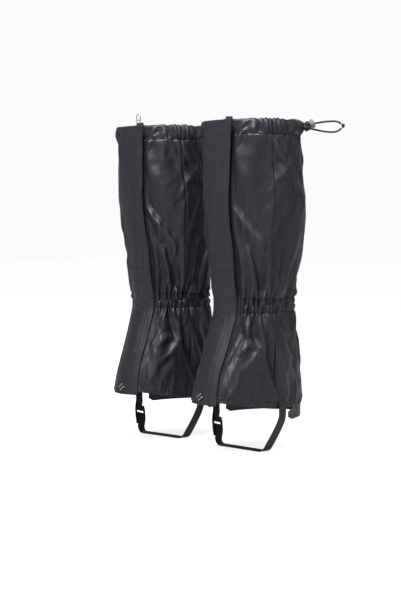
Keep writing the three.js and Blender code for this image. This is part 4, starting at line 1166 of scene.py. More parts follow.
    def stitches(self) -> None:
        """Every visible row of stitches on the leg."""
        rows = StitchRows(self.form, self.relief)
        around = np.radians(np.arange(24.0, 344.0, 0.35))
        rows.follow(around, np.full_like(around, CASING_Z + 2.2), 1.0)
        rows.follow(around, np.full_like(around, ANKLE_HIGH_Z - 0.4), 0.1)
        rows.follow(around, np.full_like(around, ANKLE_LOW_Z + 0.4), 0.1)
        rows.follow(around, hem_height(around) + HEM_BAND * 0.55, 0.1)
        levels = np.arange(78.0, 437.0, 0.9)
        for turn in (1, -1):
            for inset in (-2.6, 2.6):
                rows.follow(turn * side_seam(levels) + inset / 66, levels, 0.15)
        for turn in (1, -1):
            rows.follow(self.form.angle_at(zip_x(levels) + turn * (ZIP_CLEAR + 2.2), levels), levels, 0.15)
        piece = rows.piece(f"{self.side.prefix}_leg_stitches")
        fit(piece, "gaiters", "cloth")


class StitchRows:
    """Rows of small thread stitches that lie on the cloth."""

    LENGTH = 2.5
    GAP_SHARE = 0.34
    THREAD = 0.34

    def __init__(self, form: LegForm, relief: Relief) -> None:
        self.form, self.relief = form, relief
        self.bm = bmesh.new()
        self.count = 0

    def follow(self, angle: Array, z: Array, lift: float) -> None:
        """Sews one row through points on the leg."""
        rows = self.form.point(angle, z, self.relief.at(angle, z) + lift)
        outs = self.form.outward(np.asarray(angle), np.asarray(z))
        self.sew(rows, outs)

    def sew(self, rows: Array, outs: Array) -> None:
        """Sews one row along a polyline in the leg's frame; out is the direction away from the cloth."""
        length = np.concatenate([[0.0], np.cumsum(np.linalg.norm(np.diff(rows, axis=0), axis=1))])
        starts = np.arange(0, length[-1] - self.LENGTH, self.LENGTH)
        ends = starts + self.LENGTH * (1 - self.GAP_SHARE)
        first = np.stack([np.interp(starts, length, rows[:, i]) for i in range(3)], -1)
        last = np.stack([np.interp(ends, length, rows[:, i]) for i in range(3)], -1)
        out = np.stack([np.interp(starts, length, outs[:, i]) for i in range(3)], -1)
        world_first, world_last = self.form.world(first), self.form.world(last)
        world_out = self.form.world(first + out) - world_first
        for a, b, up in zip(world_first, world_last, world_out):
            along = Vector(b - a)
            normal = Vector(up).normalized()
            cross = along.cross(normal).normalized()
            thread = self.THREAD * MM
            half = along / 2
            made = bmesh.ops.create_cone(self.bm, cap_ends=True, segments=5, radius1=0.55, radius2=0.55,
                                         depth=2.0)
            turned = Matrix((
                (cross.x * thread, normal.x * thread, half.x, (a[0] + b[0]) / 2),
                (cross.y * thread, normal.y * thread, half.y, (a[1] + b[1]) / 2),
                (cross.z * thread, normal.z * thread, half.z, (a[2] + b[2]) / 2),
                (0, 0, 0, 1),
            ))
            for vert in made["verts"]:
                vert.co = turned @ vert.co
            self.count += 1

    def piece(self, name: str) -> bpy.types.Object:
        """All the rows as one piece."""
        bmesh.ops.recalc_face_normals(self.bm, faces=self.bm.faces)
        LOG.info("%s has %d stitches", name, self.count)
        return new_piece(name, self.bm, THREAD)


# ---- The front closure ---------------------------------------------------------------------------

# Creases in the flap: from height, to height, from share across, to share across, how high and how wide.
FLAP_CREASES = (
    (206.0, 184.0, 0.02, 0.72, 1.0, 2.2),
    (214.0, 198.0, 0.3, 0.9, 0.7, 2.0),
    (236.0, 214.0, 0.2, 0.75, 0.8, 2.6),
    (176.0, 168.0, 0.1, 0.6, 0.6, 2.4),
    (150.0, 128.0, 0.25, 0.8, 0.7, 3.0),
    (120.0, 104.0, 0.05, 0.5, 0.6, 2.6),
    (330.0, 306.0, 0.1, 0.5, 0.4, 3.5),
    (398.0, 372.0, 0.15, 0.62, 0.4, 4.0),
    (432.0, 446.0, 0.3, 0.95, 0.6, 3.0),
)


@dataclass
class FrontClosure:
    """The zip with its slider and pull, the hook-and-loop strips, the flap and the lace hook."""

    side: Side
    form: LegForm
    relief: Relief

    def name(self, piece: str) -> str:
        """A piece's or solid's whole name."""
        return f"{self.side.prefix}_{piece}"

    def outwards(self, place: Vector) -> Vector:
        """The direction out of the front of the leg."""
        return Vector((math.sin(self.side.turn), -math.cos(self.side.turn), 0))

    def zip_frame(self) -> LocalFrame:
        """The frame at the slider: X across the zip, Y outwards and Z up it."""
        top, low = (self.form.point(self.form.angle_at(zip_x(z), z), z, exact=True) for z in (457.0, 220.0))
        up = (top - low) / np.linalg.norm(top - low)
        normal = self.form.outward(self.form.angle_at(zip_x(337.0), 337.0), 337.0, exact=True)
        along = np.cross(normal, up)
        along /= np.linalg.norm(along)
        return LocalFrame(top, along, np.cross(up, along), up)

    def strip(self, name: str, across: Callable[[Array, Array], Array],
              offset: Callable[[Array, Array], Array],
              low: float, high: float, columns: int, cell: float, width: float, finish: Finish) -> bpy.types.Object:
        """A strip up the front of the leg.

        Args:
            name: the piece's name, without its prefix.
            across: the distance to the side of the leg's middle, from the share across and the height.
            offset: the offset of its outer face, from the share across and the height.
            low: its foot.
            high: its top.
            columns: cells across.
            cell: the height of a cell.
            width: its width in millimetres, for its UV map.
            finish: what it is made of.

        Returns:
            The strip, an open sheet that faces outwards.
        """
        form = self.form

        def place(u: Array, v: Array) -> Array:
            z = low + (high - low) * v
            return form.world(form.point(form.angle_at(across(u, z), z), z, offset(u, z)))

        bm = mapped_grid(columns, int((high - low) / cell), place, (width, high - low))
        return new_piece(self.name(name), face_out(bm, self.outwards), finish)

    def zip(self) -> None:
        """Both halves: a woven tape and a coil of nylon wire sewn along it."""
        for turn, half in ((-1, "inner"), (1, "outer")):
            tape = self.strip(
                f"zip_tape_{half}",
                lambda u, z, turn=turn: zip_x(z) + turn * (1.0 + (ZIP_REACH - 1.0) * u),
                lambda u, z: -1.25 - 0.25 * smoothstep((u - 0.25) / 0.2) - 0.12 * np.cos(u * 40),
                78.0, 458.0, 12, 1.5, 8.3, TAPE,
            )
            thicken(tape, 0.6)
            fit(tape, "gaiters", "zip", self.name(f"zip_half_{half}"))
            turns = int((457.0 - 79.0) / 1.35)
            share = np.linspace(0, 1, turns * 8 + 1)
            z = 79.0 + 378.0 * share
            swing = share * turns * TURN
            x = zip_x(z) + turn * (1.75 + 1.0 * np.cos(swing))
            rows = self.form.point(self.form.angle_at(x, z), z, -0.55 + 0.62 * np.sin(swing))
            wire = tube(self.form.world(rows), 0.33, 5)
            fit(new_piece(self.name(f"zip_coil_{half}"), wire, COIL), "gaiters", "zip")

    def slider(self) -> None:
        """The cast slider and its bridge, and the wire pull."""
        frame = self.zip_frame()
        bm = bmesh.new()
        block(bm, (-4.0, 0.9, -4.5), (4.0, 2.1, 4.5), bevel=0.5)
        block(bm, (-4.0, -4.0, -4.5), (4.0, -3.1, 4.5), bevel=0.4)
        block(bm, (-0.35, -3.5, 1.5), (0.35, 1.4, 4.5))
        for turn in (-1, 1):
            block(bm, (min(turn * 3.4, turn * 4.0), -0.9, -4.5), (max(turn * 3.4, turn * 4.0), 1.4, 4.5),
                  bevel=0.2)
        block(bm, (-1.3, 1.9, -2.2), (1.3, 3.0, -1.1), bevel=0.25)
        block(bm, (-1.3, 1.9, 1.1), (1.3, 3.0, 2.2), bevel=0.25)
        block(bm, (-1.3, 4.0, -2.2), (1.3, 4.8, 2.2), bevel=0.35)
        block(bm, (-1.3, 2.4, -2.2), (1.3, 4.6, -1.3), bevel=0.25)
        block(bm, (-1.3, 2.4, 1.3), (1.3, 4.6, 2.2), bevel=0.25)
        taper = [vert for vert in bm.verts if vert.co.z < -2.0 and abs(vert.co.x) > 2.0]
        for vert in taper:
            vert.co.x *= 1 - 0.05 * (-2.0 - vert.co.z)
        piece = new_piece(self.name("slider_body"), to_row(bm, self.form, frame), SLIDER_ZINC)
        fit(piece, f"{self.side.prefix}_slider", "slider", self.name("zip_slider"))
        half, reach = 3.1, 16.4
        turns = np.linspace(0, math.pi, 15)
        arch = [(half * math.cos(t), reach - half + half * math.sin(t)) for t in turns]
        outline = [(-half, 0.0), (half, 0.0)] + arch
        loop = np.array([(x, 3.2, z * self.side.pull) for x, z in outline + [(-half, 0.0)]])
        loop = evenly(loop, 0.6)[:-1]
        wire = tube(self.form.world(frame.rows(loop)), 0.6, 10, closed=True)
        pull = new_piece(self.name("pull_wire"), wire, NICKEL)
        fit(pull, f"{self.side.prefix}_pull", "steel", self.name("zip_pull"))
        bar = np.array([(-half, 3.2, 8.1 * self.side.pull), (half, 3.2, 8.1 * self.side.pull)])
        cross = tube(self.form.world(frame.rows(evenly(bar, 0.6))), 0.55, 10)
        fit(new_piece(self.name("pull_crossbar"), cross, NICKEL), f"{self.side.prefix}_pull", "steel")

    def fasteners(self) -> None:
        """The loop strip on the panel and the hook strip on the flap, each with a rough pile."""
        for node, body, inner, seed in (("loop_strip", "gaiters", 0.3, 1), ("hook_strip", "flap", 1.8, 2)):
            def offset(u: Array, z: Array, inner: float = inner, seed: int = seed) -> Array:
                rng = np.random.default_rng(seed)
                edge = smoothstep(np.minimum(u, 1 - u) * 9)
                return inner + 0.55 + 0.3 * edge + 0.3 * rng.random(u.shape) * edge

            piece = self.strip(f"{node}_pile", lambda u, z: zip_x(z) - 6.2 - 14.6 * (1 - u), offset,
                               236.0, 430.0, 18, 0.9, 14.6, PILE)
            thicken(piece, 0.6)
            owner = "gaiters" if body == "gaiters" else f"{self.side.prefix}_flap"
            fit(piece, owner, "fastener", self.name(node))

    def flap_lift(self, u: Array, z: Array) -> Array:
        """The offset of the flap's outer face: low at its seam, and standing over the zip and its slider."""
        seam, free = flap_seam_x(z), flap_free_x(z)
        x = seam + (free - seam) * u
        to_zip = x - zip_x(z)
        above = smoothstep((z - 203.0) / 31.0)
        top = smoothstep((z - 424.0) / 12.0)
        strip = smoothstep((to_zip + 26.0) / 7.0)
        tunnel = smoothstep((to_zip + 7.0) / 5.0)
        upper = 2.6 + 0.9 * strip + (3.3 + 1.7 * top) * tunnel
        lower = 1.5 + 1.1 * smoothstep(u / 0.45) + 0.5 * tunnel
        lift = lower + (upper - lower) * above
        curl = smoothstep((u - 0.86) / 0.14)
        seam_side = (1 - smoothstep(u / 0.2)) * (0.6 + 1.2 * smoothstep((z - 385.0) / 30.0))
        lift = lift + seam_side * np.sin(z / 6.5 + 1.4 * np.sin(z / 19.0))
        wave = np.sin(z / 17.0 + 1.2 * np.sin(z / 41.0)) + 0.5 * np.sin(z / 9.0)
        lift = lift + curl * (0.55 * wave + 0.5) + 0.35 * np.sin(z / 26.0 + 3 * u) * smoothstep(u * 4)
        lift = lift + 0.4 * np.sin(z / 12.0 + 5.0 * u + 1.5 * np.sin(z / 33.0)) * smoothstep(u * 4) * (1 - curl)
        lift = lift + 0.3 * smoothstep((u - 0.8) / 0.02) - 0.35 * np.exp(-(((u - 0.795) / 0.012) ** 2))
        lift = lift - 0.3 * np.exp(-(((u - 0.06) / 0.015) ** 2))
        for z0, z1, u0, u1, height, width in FLAP_CREASES:
            bx, by = (u1 - u0) * 50.0, z1 - z0
            ax, ay = (u - u0) * 50.0, z - z0
            share = np.clip((ax * bx + ay * by) / (bx * bx + by * by), 0, 1)
            distance = np.hypot(ax - share * bx, ay - share * by)
            lift = lift + height * np.exp(-((distance / width) ** 1.4)) * np.sin(math.pi * (0.1 + 0.8 * share))
        return lift

    def flap(self) -> None:
        """The flap over the zip, in one length."""
        piece = self.strip(
            "storm_flap_cloth", lambda u, z: flap_seam_x(z) + (flap_free_x(z) - flap_seam_x(z)) * u, self.flap_lift,
            FLAP_FOOT_Z, 457.4, 46, 1.3, 52.0, FLAP_NYLON,
        )
        crest = np.full(len(piece.data.vertices), 0.5)
        with_crest(piece, crest)
        thicken(piece, 1.0)
        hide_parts(self.name("storm_flap"), self.name("lower_flap"))
        self.hinge_blend(piece)
        rows = StitchRows(self.form, self.relief)
        levels = np.arange(FLAP_FOOT_Z + 3, 456.0, 0.9)
        for u in (0.06, 0.795, 0.955):
            x = flap_seam_x(levels) + (flap_free_x(levels) - flap_seam_x(levels)) * u
            angle = self.form.angle_at(x, levels)
            lift = self.flap_lift(np.full_like(levels, u), levels) + 0.12
            rows.sew(self.form.point(angle, levels, lift), self.form.outward(angle, levels))
        for z in (251.0, 252.4, 253.8):
            u = np.linspace(0.12, 0.9, 80)
            x = flap_seam_x(z) + (flap_free_x(z) - flap_seam_x(z)) * u
            angle = self.form.angle_at(x, np.full_like(u, z))
            lift = self.flap_lift(u, np.full_like(u, z)) + 0.12
            rows.sew(self.form.point(angle, z, lift), self.form.outward(angle, np.full_like(u, z)))
        stitches = rows.piece(self.name("flap_stitches"))
        self.hinge_blend(stitches)
        levels = np.arange(FLAP_FOOT_Z + 1, 457.0, 1.0)
        spine = self.form.point(self.form.angle_at(flap_seam_x(levels) - 0.4, levels), levels, 1.1)
        tuck = tube(self.form.world(spine), 1.5, 10)
        # The tuck's crest value of 0.45, under the flat cloth's 0.5, paints it a little darker: painted shade in
        # the seam's fold.
        piece = with_crest(new_piece(self.name("flap_seam_tuck"), tuck, FLAP_NYLON),
                           np.full(10 * len(levels), 0.45))
        fit(piece, "gaiters", "flap")

    def hinge_blend(self, piece: bpy.types.Object) -> None:
        """Bakes a piece's transform into its mesh."""
        low, high = (self.form.world(self.form.point(0.0, z)) for z in (224.0, 262.0))
        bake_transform(piece)
        LOG.info("%s bends between the leg and the flap", piece.name)

    def lace_hook(self) -> None:
        """The pressed hook: a plate behind the flap and two smooth bars in front."""
        z, x = 81.0, -4.0
        angle = self.form.angle_at(x, z)
        here = self.form.point(angle, z, exact=True)
        up = self.form.point(angle, z + 4, exact=True) - here
        up /= np.linalg.norm(up)
        along = np.cross(self.form.outward(angle, z, exact=True), up)
        along /= np.linalg.norm(along)
        frame = LocalFrame(here, along, np.cross(up, along), up)
        turn = Matrix.Rotation(math.radians(40), 4, "Y")
        bm = bmesh.new()
        block(bm, (-4.2, 0.6, -4.2), (4.2, 1.4, 4.2), turn, bevel=0.3)
        for side in (-1, 1):
            middle = side * 2.7
            block(bm, (-4.0, 3.9, middle - 1.3), (4.0, 5.1, middle + 1.3), turn, bevel=0.55)
            block(bm, (-3.0, 0.9, middle - 0.7), (3.0, 4.6, middle + 0.7), turn, bevel=0.2)
        piece = new_piece(self.name("hook_bars"), to_row(bm, self.form, frame), NICKEL)
        fit(piece, "gaiters", "steel", self.name("lace_hook"))


# ---- The instep strap ----------------------------------------------------------------------------
@dataclass
class InstepStrap:
    """The webbing under the boot's arch, its two sewn ends and the three-bar buckle."""

    side: Side
    form: LegForm
    relief: Relief
    width: float = 16.0
    webbing: float = 1.4
    pivot_z: float = 44.0
    strap_y: float = -13.0
    arch_half: float = 36.0
    rake: float = math.radians(16.0)

    @property
    def strap_x(self) -> float:
        """The middle of the webbing beside the leg."""
        return 59.0 + 0.3 + self.webbing / 2 + 0.1

    @property
    def arch_drop(self) -> float:
        """The middle of the webbing under the arch, down from the pivot line."""
        return -self.pivot_z / math.cos(self.rake) + self.webbing / 2

    def buckle_side(self, along: float, out: float) -> tuple[float, float]:
        """A point on the buckle's side: along it from the arch's bend, and outwards."""
        foot = np.array([-self.arch_half - 10, self.arch_drop + 9])
        way = np.array([-self.strap_x, self.width / 2]) - foot
        way /= np.linalg.norm(way)
        point = foot + way * along + np.array([-way[1], way[0]]) * out
        return float(point[0]), float(point[1])

    def raked(self, rows: Array) -> Array:
        """Rows of x, width and drop, raked about the pivot line in the leg's frame."""
        x, wide, drop = rows[..., 0], rows[..., 1], rows[..., 2]
        twist = self.rake * np.clip((np.abs(x) - self.arch_half) / 10.0, 0, 1)
        y = self.strap_y + drop * math.sin(self.rake) + wide * np.cos(twist)
        z = self.pivot_z + drop * math.cos(self.rake) - wide * np.sin(twist)
        return np.stack([x, y, z], -1)

    def ribbon(self, line: Sequence[tuple[float, float]], anchor: int,
               spacing: float = 1.2) -> bmesh.types.BMesh:
        """Woven webbing with full edges along a line of x and drop.

        Args:
            line: the middle of the webbing, from its sewn end.
            anchor: 1 or -1 where the webbing starts on the skirt at +X or -X, and 0 where it doesn't.
            spacing: the length of a cell.

        Returns:
            The closed bmesh in metres.
        """
        path = smooth_path(np.array([(x, 0.0, drop) for x, drop in line]), spacing)
        middle = self.raked(path)
        edge = self.raked(path + np.array([0.0, 1.0, 0.0])) - middle
        if anchor:
            levels = np.arange(71.5, 53.0, -spacing)
            y = np.full_like(levels, self.strap_y + 2.2)
            _, sy, half, depth = self.form.section(levels)
            across = np.arcsin((y - sy) / depth)
            angle = math.pi / 2 + across if anchor > 0 else TURN * 0.75 - across
            skin = self.form.point(angle, levels, 1.4 + self.relief.at(angle, levels) * 0.25)
            middle = np.vstack([skin, middle])
            edge = np.vstack([np.tile([0.0, 1.0, 0.0], (len(levels), 1)), edge])
        for _ in range(6):
            middle[1:-1] = (middle[:-2] + 2 * middle[1:-1] + middle[2:]) / 4
        tangent = np.gradient(middle, axis=0)
        edge /= np.linalg.norm(edge, axis=1, keepdims=True)
        out = np.cross(edge, tangent)
        out /= np.linalg.norm(out, axis=1, keepdims=True)
        count = len(middle)

        def place(u: Array, v: Array) -> Array:
            index = np.rint(u * (count - 1)).astype(int)
            turn = v * TURN
            wide = np.sign(np.cos(turn)) * np.abs(np.cos(turn)) ** 0.35 * self.width / 2
            deep = np.sign(np.sin(turn)) * np.abs(np.sin(turn)) ** 0.55 * self.webbing / 2
            herringbone = np.sin((wide * 1.4 + np.abs(((index * spacing) % 3.2) - 1.6) * 1.6) * 2.2)
            deep = deep * (1 + 0.1 * herringbone)
            flat = middle[index] + edge[index] * wide[:, None] + out[index] * deep[:, None]
            return self.form.world(flat)

        return closed_out(mapped_grid(count - 1, 44, place, (spacing * count, 2 * self.width), "v"))

    def swing_blend(self, piece: bpy.types.Object) -> None:
        """Bakes a webbing piece's transform into its mesh."""
        high, low = (self.form.world(np.array([0.0, self.strap_y, z])) for z in (51.0, 39.0))
        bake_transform(piece)
        LOG.info("%s bends between the skirt and the strap", piece.name)

    def build(self) -> None:
        """The strap, the buckle's own tab and the buckle."""
        prefix = self.side.prefix
        grip = 10 + 9.2 + 1.4
        drop = self.arch_drop
        strap = [
            (self.strap_x, 8.0), (self.strap_x - 0.6, 0.0), (53.0, (drop + 9) * 0.55), (46.0, drop + 9),
            (43.5, drop + 3.6), (39.5, drop + 0.6), (36.0, drop), (20.0, drop), (0.0, drop), (-20.0, drop),
            (-36.0, drop), (-39.5, drop + 0.6), (-43.5, drop + 3.6), (-46.0, drop + 9),
            self.buckle_side(7.0, -2.5), self.buckle_side(13.0, -2.7), self.buckle_side(grip - 1.5, -2.4),
            self.buckle_side(grip, 0.0), self.buckle_side(grip - 1.5, 2.4), self.buckle_side(13.0, 2.7),
            self.buckle_side(8.0, 2.6), self.buckle_side(3.0, 2.2),
        ]
        piece = new_piece(f"{prefix}_strap_webbing", self.ribbon(strap, 1), WEBBING)
        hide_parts(f"{prefix}_instep_strap", f"{prefix}_strap_anchor")
        self.swing_blend(piece)
        loop, top = 10 + 14.6 - 1.3, self.buckle_top()
        tab = [
            self.buckle_side(top, 0.0), self.buckle_side(top - 8.0, 0.4), self.buckle_side(33.0, 2.2),
            self.buckle_side(28.0, 2.7), self.buckle_side(loop + 1.5, 2.5), self.buckle_side(loop, 0.0),
            self.buckle_side(loop + 1.5, -2.5), self.buckle_side(28.0, -2.7), self.buckle_side(31.0, -2.2),
        ]
        piece = new_piece(f"{prefix}_buckle_webbing", self.ribbon(tab, -1), WEBBING)
        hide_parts(f"{prefix}_buckle_tab", f"{prefix}_tab_anchor")
        self.swing_blend(piece)
        self.buckle()
        self.box_stitch()

    def buckle_top(self) -> float:
        """The length of the buckle's side from the arch's bend to the skirt."""
        foot = np.array([-self.arch_half - 10, self.arch_drop + 9])
        return float(np.linalg.norm(np.array([-self.strap_x, self.width / 2]) - foot))

    def buckle(self) -> None:
        """The moulded three-bar buckle, with rounded rails and ribbed grip bar."""
        x0, z0 = self.buckle_side(10.0, 0.0)
        x1, z1 = self.buckle_side(11.0, 0.0)
        lean = Matrix.Translation((x0, 0, z0)) @ Matrix.Rotation(math.atan2(x1 - x0, z1 - z0), 4, "Y")
        bm = bmesh.new()
        for low, high in ((0.0, 3.0), (6.6, 9.2), (14.6, 17.6)):
            block(bm, (-1.3, -9.6, low), (1.3, 9.6, high), lean, bevel=0.6)
        for turn in (-1, 1):
            block(bm, (-1.5, min(turn * 8.5, turn * 11.0), 0.0),
                  (1.5, max(turn * 8.5, turn * 11.0), 17.6), lean,
                  bevel=0.7)
        for i in range(9):
            block(bm, (-1.6, -6.9 + 1.6 * i, 0.4), (1.6, -6.2 + 1.6 * i, 2.6), lean, bevel=0.2)
        rows = self.raked(np.array([vert.co for vert in bm.verts]))
        for vert, row in zip(bm.verts, self.form.world(rows)):
            vert.co = row
        bmesh.ops.recalc_face_normals(bm, faces=bm.faces)
        piece = new_piece(f"{self.side.prefix}_buckle", bm, DARK_ACETAL)
        fit(piece, f"{self.side.prefix}_strap", "dark_plastic", f"{self.side.prefix}_ladder_buckle")

    def box_stitch(self) -> None:
        """The box of stitches that holds each end of the webbing to the skirt."""
        rows = StitchRows(self.form, self.relief)
        for anchor in (1, -1):
            corners = [(-6.0, 70.0), (6.0, 70.0), (6.0, 56.0), (-6.0, 56.0), (-6.0, 70.0), (6.0, 56.0)]
            path = evenly(np.array([(self.strap_y + 2.2 + a, z, 0.0) for a, z in corners]), 0.8)
            _, sy, _, depth = self.form.section(path[:, 1])
            across = np.arcsin((path[:, 0] - sy) / depth)
            angle = math.pi / 2 + across if anchor > 0 else TURN * 0.75 - across
            rows.follow(angle, path[:, 1], 2.0)
        fit(rows.piece(f"{self.side.prefix}_strap_stitches"), "gaiters", "webbing")


# ---- The drawcord and its lock -------------------------------------------------------------------
# Each strand's route in the lock's frame: along the rim, outwards and up, from the casing to the knot.
UPPER_STRAND = (
    (13, -0.9, 2.3), (13, 1.5, 2.3), (12.4, 4.2, 2.3), (10.6, 6.8, 2.4), (7.8, 8.3, 2.5), (4, 8.5, 2.6),
    (0, 8.5, 2.6), (-4.4, 8.5, 2.6), (-8, 9.2, 2.9), (-10.8, 11.8, 3.3), (-11.6, 15.4, 3.8), (-10.6, 20,
                                                                                              4.6),
    (-8.6, 26, 5.6), (-6, 33, 6.5), (-3.6, 41, 7), (-1.8, 48, 6.8), (-0.6, 53, 5.2), (-0.2, 55.9, 3.2),
)
LOWER_STRAND = (
    (13, -0.9, -2.3), (13, 1.5, -2.3), (12.6, 5, -2.2), (10.8, 8.2, -1.9), (7.8, 10.1, -1.7), (4, 10.5,
                                                                                               -1.6),
    (0, 10.5, -1.6), (-4.4, 10.5, -1.6), (-8.2, 11.3, -1.9), (-10.7, 14, -2.5), (-11.2, 18, -3.4), (-10,
                                                                                                    23, -4.6),
    (-8, 29, -6), (-5.4, 36, -7.3), (-3, 43, -7.9), (-1.4, 49, -7.4), (-0.4, 53.6, -5.2), (-0.1, 56.4,
                                                                                           -2.7),
)


@dataclass
class DrawCord:
    """The cord through the top hem, its two free strands, their knot and the spring lock that grips them."""

    side: Side
    form: LegForm
    lock_radius: float = 6.5
    lock_out: float = 8.4
    tilt: float = math.radians(65.0)

    def frame(self) -> LocalFrame:
        """The frame at the lock: X along the rim towards the front."""
        angle = math.radians(LOCK_ANGLE)
        out = self.form.outward(angle, CORD_Z, exact=True)
        up = np.array([0.0, 0.0, 1.0])
        return LocalFrame(self.form.point(angle, CORD_Z, 1.0, exact=True), np.cross(out, up), out, up)

    def cords(self) -> None:
        """The two strands with the knot that joins their ends."""
        prefix, frame = self.side.prefix, self.frame()
        knot = self.knot(frame)
        for name, route in (("upper", UPPER_STRAND), ("lower", LOWER_STRAND)):
            rows = smooth_path(np.array(route, float), 0.5)
            path = self.form.world(frame.rows(rows))
            piece = new_piece(f"{prefix}_cord_{name}", tube(path, CORD / 2, 16, braid=0.06), BRAID)
            fit(piece, "gaiters", "cord", f"{prefix}_cord_strand_{name}")

    def knot(self, frame: LocalFrame) -> bpy.types.Object:
        """The two ends tied together, as a small three-lobed knot."""
        turn = np.linspace(0, TURN, 91)[:-1]
        rows = np.stack([
            0.62 * (np.sin(turn) + 2 * np.sin(2 * turn)),
            58.6 + 0.95 * np.sin(3 * turn),
            0.9 + 0.7 * (np.cos(turn) - 2 * np.cos(2 * turn)),
        ], -1)
        path = self.form.world(frame.rows(rows))
        piece = new_piece(f"{self.side.prefix}_end_knot", tube(path, 1.35, 14, braid=0.06, closed=True),
                          BRAID)
        return fit(piece, "gaiters", "cord", f"{self.side.prefix}_cord_knot")

    def channel(self) -> None:
        """The length of cord inside the top hem."""
        start = float(self.form.angle_at(ZIP_TOP_X + 24.8, CORD_Z))
        end = TURN + float(self.form.angle_at(ZIP_TOP_X - 24.8, CORD_Z))
        angle = np.linspace(start, end, 400)
        path = self.form.world(self.form.point(angle, CORD_Z, -1.8, exact=True))
        piece = new_piece(f"{self.side.prefix}_hem_cord", tube(path, CORD / 2, 10, braid=0.05), BRAID)
        fit(piece, "gaiters", "cord", f"{self.side.prefix}_channel_cord")

    def turned(self, outline: Sequence[tuple[float, float]], steps: int = 40) -> bmesh.types.BMesh:
        """A shape of revolution about Z from an outline of radius and height, in millimetres."""
        bm = bmesh.new()
        verts = [bm.verts.new((radius, 0.0, height)) for radius, height in outline]
        edges = [bm.edges.new(pair) for pair in zip(verts[:-1], verts[1:])]
        bmesh.ops.spin(bm, geom=verts + edges, cent=(0, 0, 0), axis=(0, 0, 1), angle=TURN, steps=steps,
                       use_merge=True)
        bmesh.ops.remove_doubles(bm, verts=bm.verts, dist=1e-4)
        bmesh.ops.recalc_face_normals(bm, faces=bm.faces)
        return bm

    def placed(self, bm: bmesh.types.BMesh) -> bmesh.types.BMesh:
        """Tilts a shape made about the lock's axis and puts it in its place."""
        bmesh.ops.transform(bm, verts=bm.verts,
                            matrix=Matrix.Translation((0, self.lock_out, 0)) @ Matrix.Rotation(-self.tilt,
                                                                                               4, "X"))
        return to_row(bm, self.form, self.frame())

    def cut(self, piece: bpy.types.Object, cutters: Iterable[bmesh.types.BMesh]) -> bpy.types.Object:
        """Cuts shapes out of a piece for good."""
        for i, shape in enumerate(cutters):
            cutter = new_piece(f"cutter_{i}", shape, DARK_ACETAL)
            boolean = piece.modifiers.new("cut", "BOOLEAN")
            boolean.operation, boolean.object, boolean.solver = "DIFFERENCE", cutter, "EXACT"
            bpy.context.view_layer.update()
            done = bpy.data.meshes.new_from_object(piece.evaluated_get(bpy.context.evaluated_depsgraph_get()))
            piece.modifiers.clear()
            piece.data = done
            bpy.data.objects.remove(cutter)
        return piece

    def lock(self) -> None:
        """The barrel with its two cord holes, the ribbed button with its stem, and the spring's finish."""
        prefix, r = self.side.prefix, self.lock_radius
        barrel = self.turned([
            (0.0, -5.2), (4.6, -5.2), (5.4, -5.1), (6.1, -4.7), (6.45, -4.0), (r, -3.2), (r, 0.0), (6.3,
                                                                                                    0.3),
            (6.3, 0.9), (r, 1.2), (r, 3.0), (6.35, 3.6), (6.0, 3.95), (5.6, 4.0), (5.25, 3.8), (5.2, 3.4),
            (5.2, -4.0), (4.8, -4.35), (0.0, -4.4),
        ])
        piece = new_piece(f"{prefix}_lock_barrel", self.placed(barrel), DARK_ACETAL)
        holes = []
        for turn in (-1, 1):
            hole = bmesh.new()
            way = Matrix.Translation((0, turn * 2.3, 1.2)) @ Matrix.Rotation(math.pi / 2, 4, "Y")
            bmesh.ops.create_cone(hole, cap_ends=True, segments=28, radius1=1.95, radius2=1.95, depth=24,
                                  matrix=way)
            holes.append(self.placed(hole))
        soften(self.cut(piece, holes), 0.12)
        fit(piece, "gaiters", "dark_plastic", f"{prefix}_lock_body")
        button = self.turned([
            (0.0, -1.5), (4.7, -1.5), (4.9, -1.3), (4.9, 6.2), (5.6, 6.3), (6.2, 6.45), (r, 6.9), (6.3,
                                                                                                   7.4),
            (6.3, 7.7), (r, 8.1), (6.3, 8.5), (6.3, 8.8), (6.45, 9.3), (6.2, 10.1), (5.6, 10.7), (4.6,
                                                                                                  10.95),
            (3.2, 10.7), (1.6, 10.45), (0.0, 10.4),
        ])
        piece = new_piece(f"{prefix}_lock_button", self.placed(button), GREY_ACETAL)
        slot = bmesh.new()
        block(slot, (-20.0, -4.1, -0.55), (20.0, 4.1, 4.9), bevel=0.5)
        soften(self.cut(piece, [self.placed(slot)]), 0.12)
        fit(piece, f"{prefix}_plunger", "grey_plastic", f"{prefix}_lock_plunger")
        spring = bpy.data.objects[f"{prefix}_lock_spring"] if f"{prefix}_lock_spring" in bpy.data.objects else None
        if spring:
            spring.data.materials.clear()
            spring.data.materials.append(NICKEL.material())


# ---- The studio ----------------------------------------------------------------------------------

LIT_HEIGHT = 0.26  # what the soft boxes face, in metres
FLOOR_DROP = 0.0002  # how far the floor lies under the lowest piece

